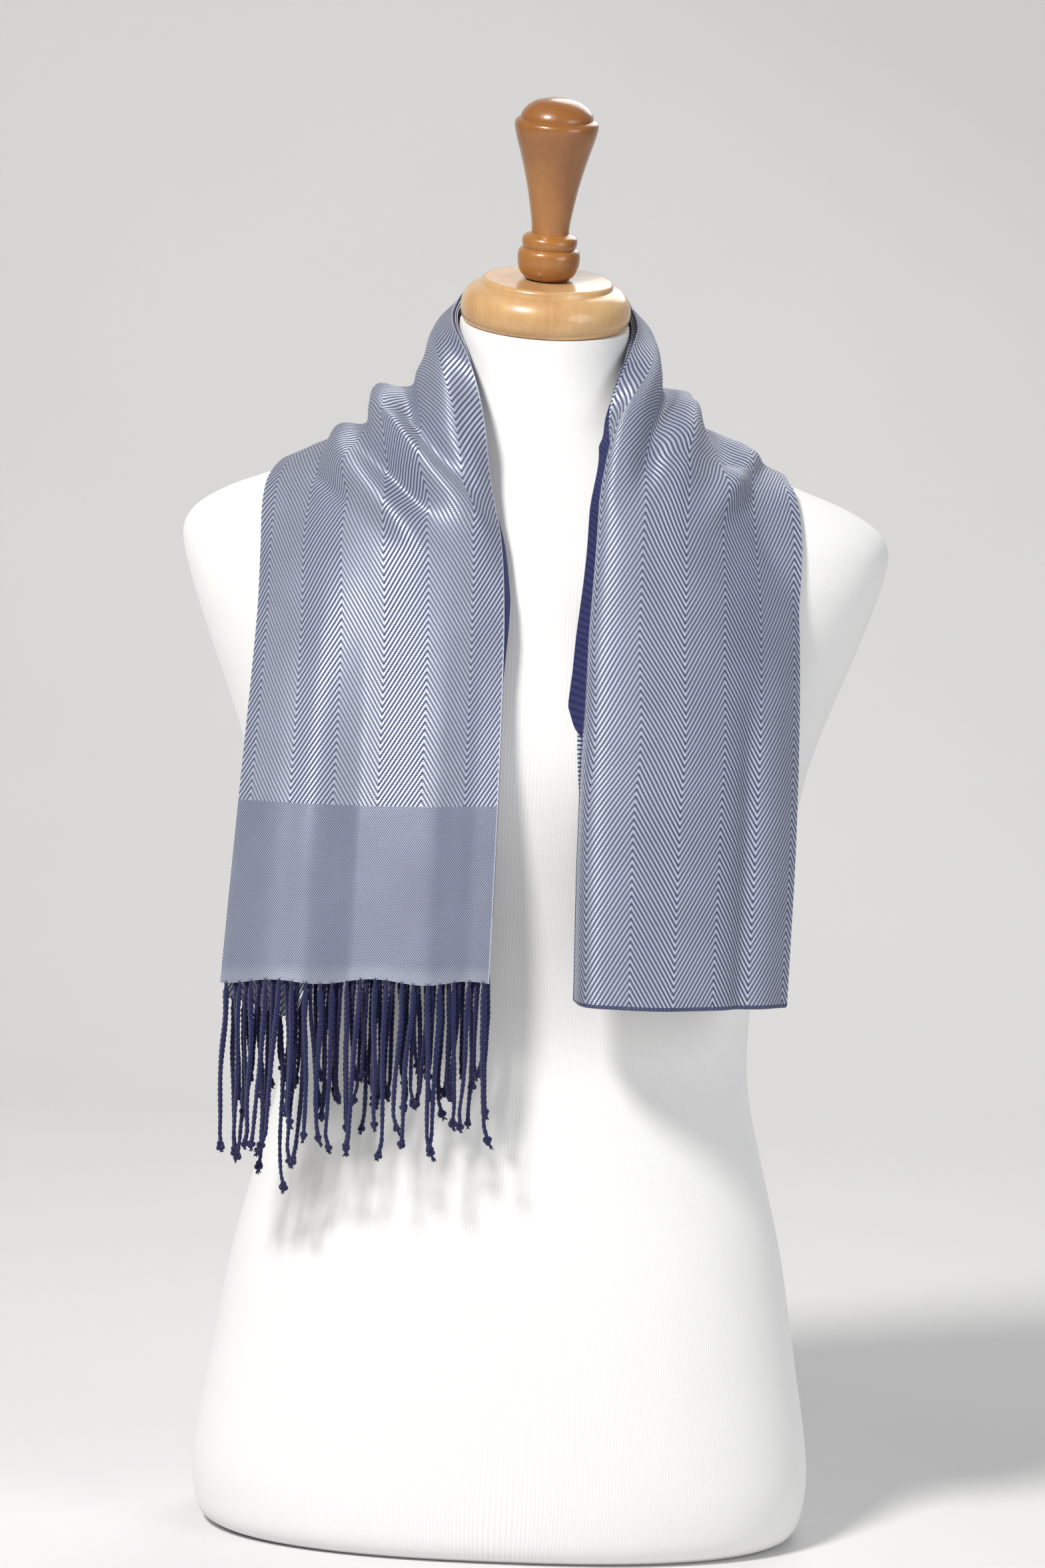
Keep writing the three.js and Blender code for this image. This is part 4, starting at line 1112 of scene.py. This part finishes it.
# Lights: name, place, diameter and power; tint. Lengths are in metres here.
LIGHTS = (
    ("key_light", (-1.25, -1.95, 2.55), 0.6, 98, (1.0, 0.985, 0.955)),
    ("fill_light", (2.0, -1.8, 1.1), 1.6, 19, (0.96, 0.975, 1.0)),
    ("back_light", (0.6, 1.6, 1.9), 1.4, 14, (1.0, 1.0, 1.0)),
)
LIT_POINT = (0, 0, 0.4)
ROOM_COLOUR, ROOM_STRENGTH = (0.93, 0.95, 1.0, 1.0), 0.27
SWEEP_HALF_WIDTH, SWEEP_FRONT, SWEEP_BEND, BEND_RADIUS, SWEEP_TOP = 3.4, -3.2, 1.6, 0.9, 3.6
FOCAL_LENGTH, SENSOR = 107.14, 36.0
SEEN_POINT, SEEN_FROM = (-0.002, 0, 0.411), 2.562
VIEW_TILT, VIEW_ROLL = math.radians(3.9), math.radians(2.3)


class SCARF_OT_stage(bpy.types.Operator):
    """Set the pale floor, the soft lights and the camera"""
    bl_idname = "scarf.stage"
    bl_label = "Stage"

    def execute(self, context):
        paper = finish_of("pale_paper", stage_paper, context.scene.scarf_looks)
        # floor and wall in one sweep
        deselect()
        profile = [(SWEEP_FRONT, 0.0)] + [
            (SWEEP_BEND + BEND_RADIUS * math.sin(turn), BEND_RADIUS - BEND_RADIUS * math.cos(turn))
            for turn in np.radians(np.linspace(0, 90, 13))] + [(SWEEP_BEND + BEND_RADIUS, SWEEP_TOP)]
        points = [(x, y, z) for y, z in profile for x in (-SWEEP_HALF_WIDTH, SWEEP_HALF_WIDTH)]
        faces = [(2 * k, 2 * k + 1, 2 * k + 3, 2 * k + 2) for k in range(len(profile) - 1)]
        mesh = bpy.data.meshes.new("paper_sweep")
        mesh.from_pydata(points, [], faces)
        mesh.polygons.foreach_set("use_smooth", [True] * len(faces))
        mesh.materials.append(paper)
        sweep = linked("paper_sweep", mesh)

        for name, place, diameter, power, tint in LIGHTS:
            lamp = bpy.data.lights.new(name, "AREA")
            lamp.shape, lamp.size, lamp.energy, lamp.color = "DISK", diameter, power, tint
            thing = linked(name, lamp)
            thing.location = place
            thing.rotation_euler = (Vector(LIT_POINT) - Vector(place)).to_track_quat("-Z", "Y").to_euler()
        world = bpy.data.worlds.new("soft_room")
        world.use_nodes = True
        sky = world.node_tree.nodes["Background"]
        sky.inputs["Color"].default_value = ROOM_COLOUR
        sky.inputs["Strength"].default_value = ROOM_STRENGTH
        context.scene.world = world

        lens = bpy.data.cameras.new("front_camera")
        lens.lens, lens.sensor_width, lens.sensor_fit = FOCAL_LENGTH, SENSOR, "AUTO"
        lens.clip_start, lens.clip_end = 0.1, 20.0
        camera = linked("front_camera", lens)
        forward = Vector((0, math.cos(VIEW_TILT), -math.sin(VIEW_TILT)))
        level_up = Vector((0, math.sin(VIEW_TILT), math.cos(VIEW_TILT)))
        right = Vector((1, 0, 0)) * math.cos(VIEW_ROLL) + level_up * math.sin(VIEW_ROLL)
        turned = Matrix((right, right.cross(forward), -forward)).transposed().to_4x4()
        camera.matrix_world = Matrix.Translation(Vector(SEEN_POINT) - forward * SEEN_FROM) @ turned
        context.scene.camera = camera
        context.scene.view_settings.view_transform = "Standard"
        return {"FINISHED"}


class SCARF_PT_panel(bpy.types.Panel):
    """Make the scarf and its dress form, piece by piece"""
    bl_idname = "SCARF_PT_panel"
    bl_label = "Scarf on a dress form"
    bl_space_type = "VIEW_3D"
    bl_region_type = "UI"
    bl_category = "Scarf"

    def draw(self, context):
        column = self.layout.column(align=True)
        for operator in OPERATORS:
            column.operator(operator.bl_idname, text=operator.bl_label)
        for group in (context.scene.scarf_sizes, context.scene.scarf_looks):
            column = self.layout.column(align=True)
            for name in group.__annotations__:
                column.prop(group, name)


OPERATORS = (SCARF_OT_dress_form, SCARF_OT_turned_wood, SCARF_OT_outer_layers, SCARF_OT_inner_layers,
             SCARF_OT_fringe, SCARF_OT_stage)
CLASSES = (ScarfSizes, ScarfLooks, *OPERATORS, SCARF_PT_panel)


def register():
    for cls in CLASSES:
        bpy.utils.register_class(cls)
    bpy.types.Scene.scarf_sizes = PointerProperty(type=ScarfSizes)
    bpy.types.Scene.scarf_looks = PointerProperty(type=ScarfLooks)


def unregister():
    del bpy.types.Scene.scarf_looks
    del bpy.types.Scene.scarf_sizes
    for cls in reversed(CLASSES):
        bpy.utils.unregister_class(cls)


def main():
    register()
    bpy.ops.scarf.dress_form()
    bpy.ops.scarf.turned_wood()
    bpy.ops.scarf.outer_layers()
    bpy.ops.scarf.inner_layers()
    bpy.ops.scarf.fringe()
    bpy.ops.scarf.stage()


if __name__ == "__main__":
    main()
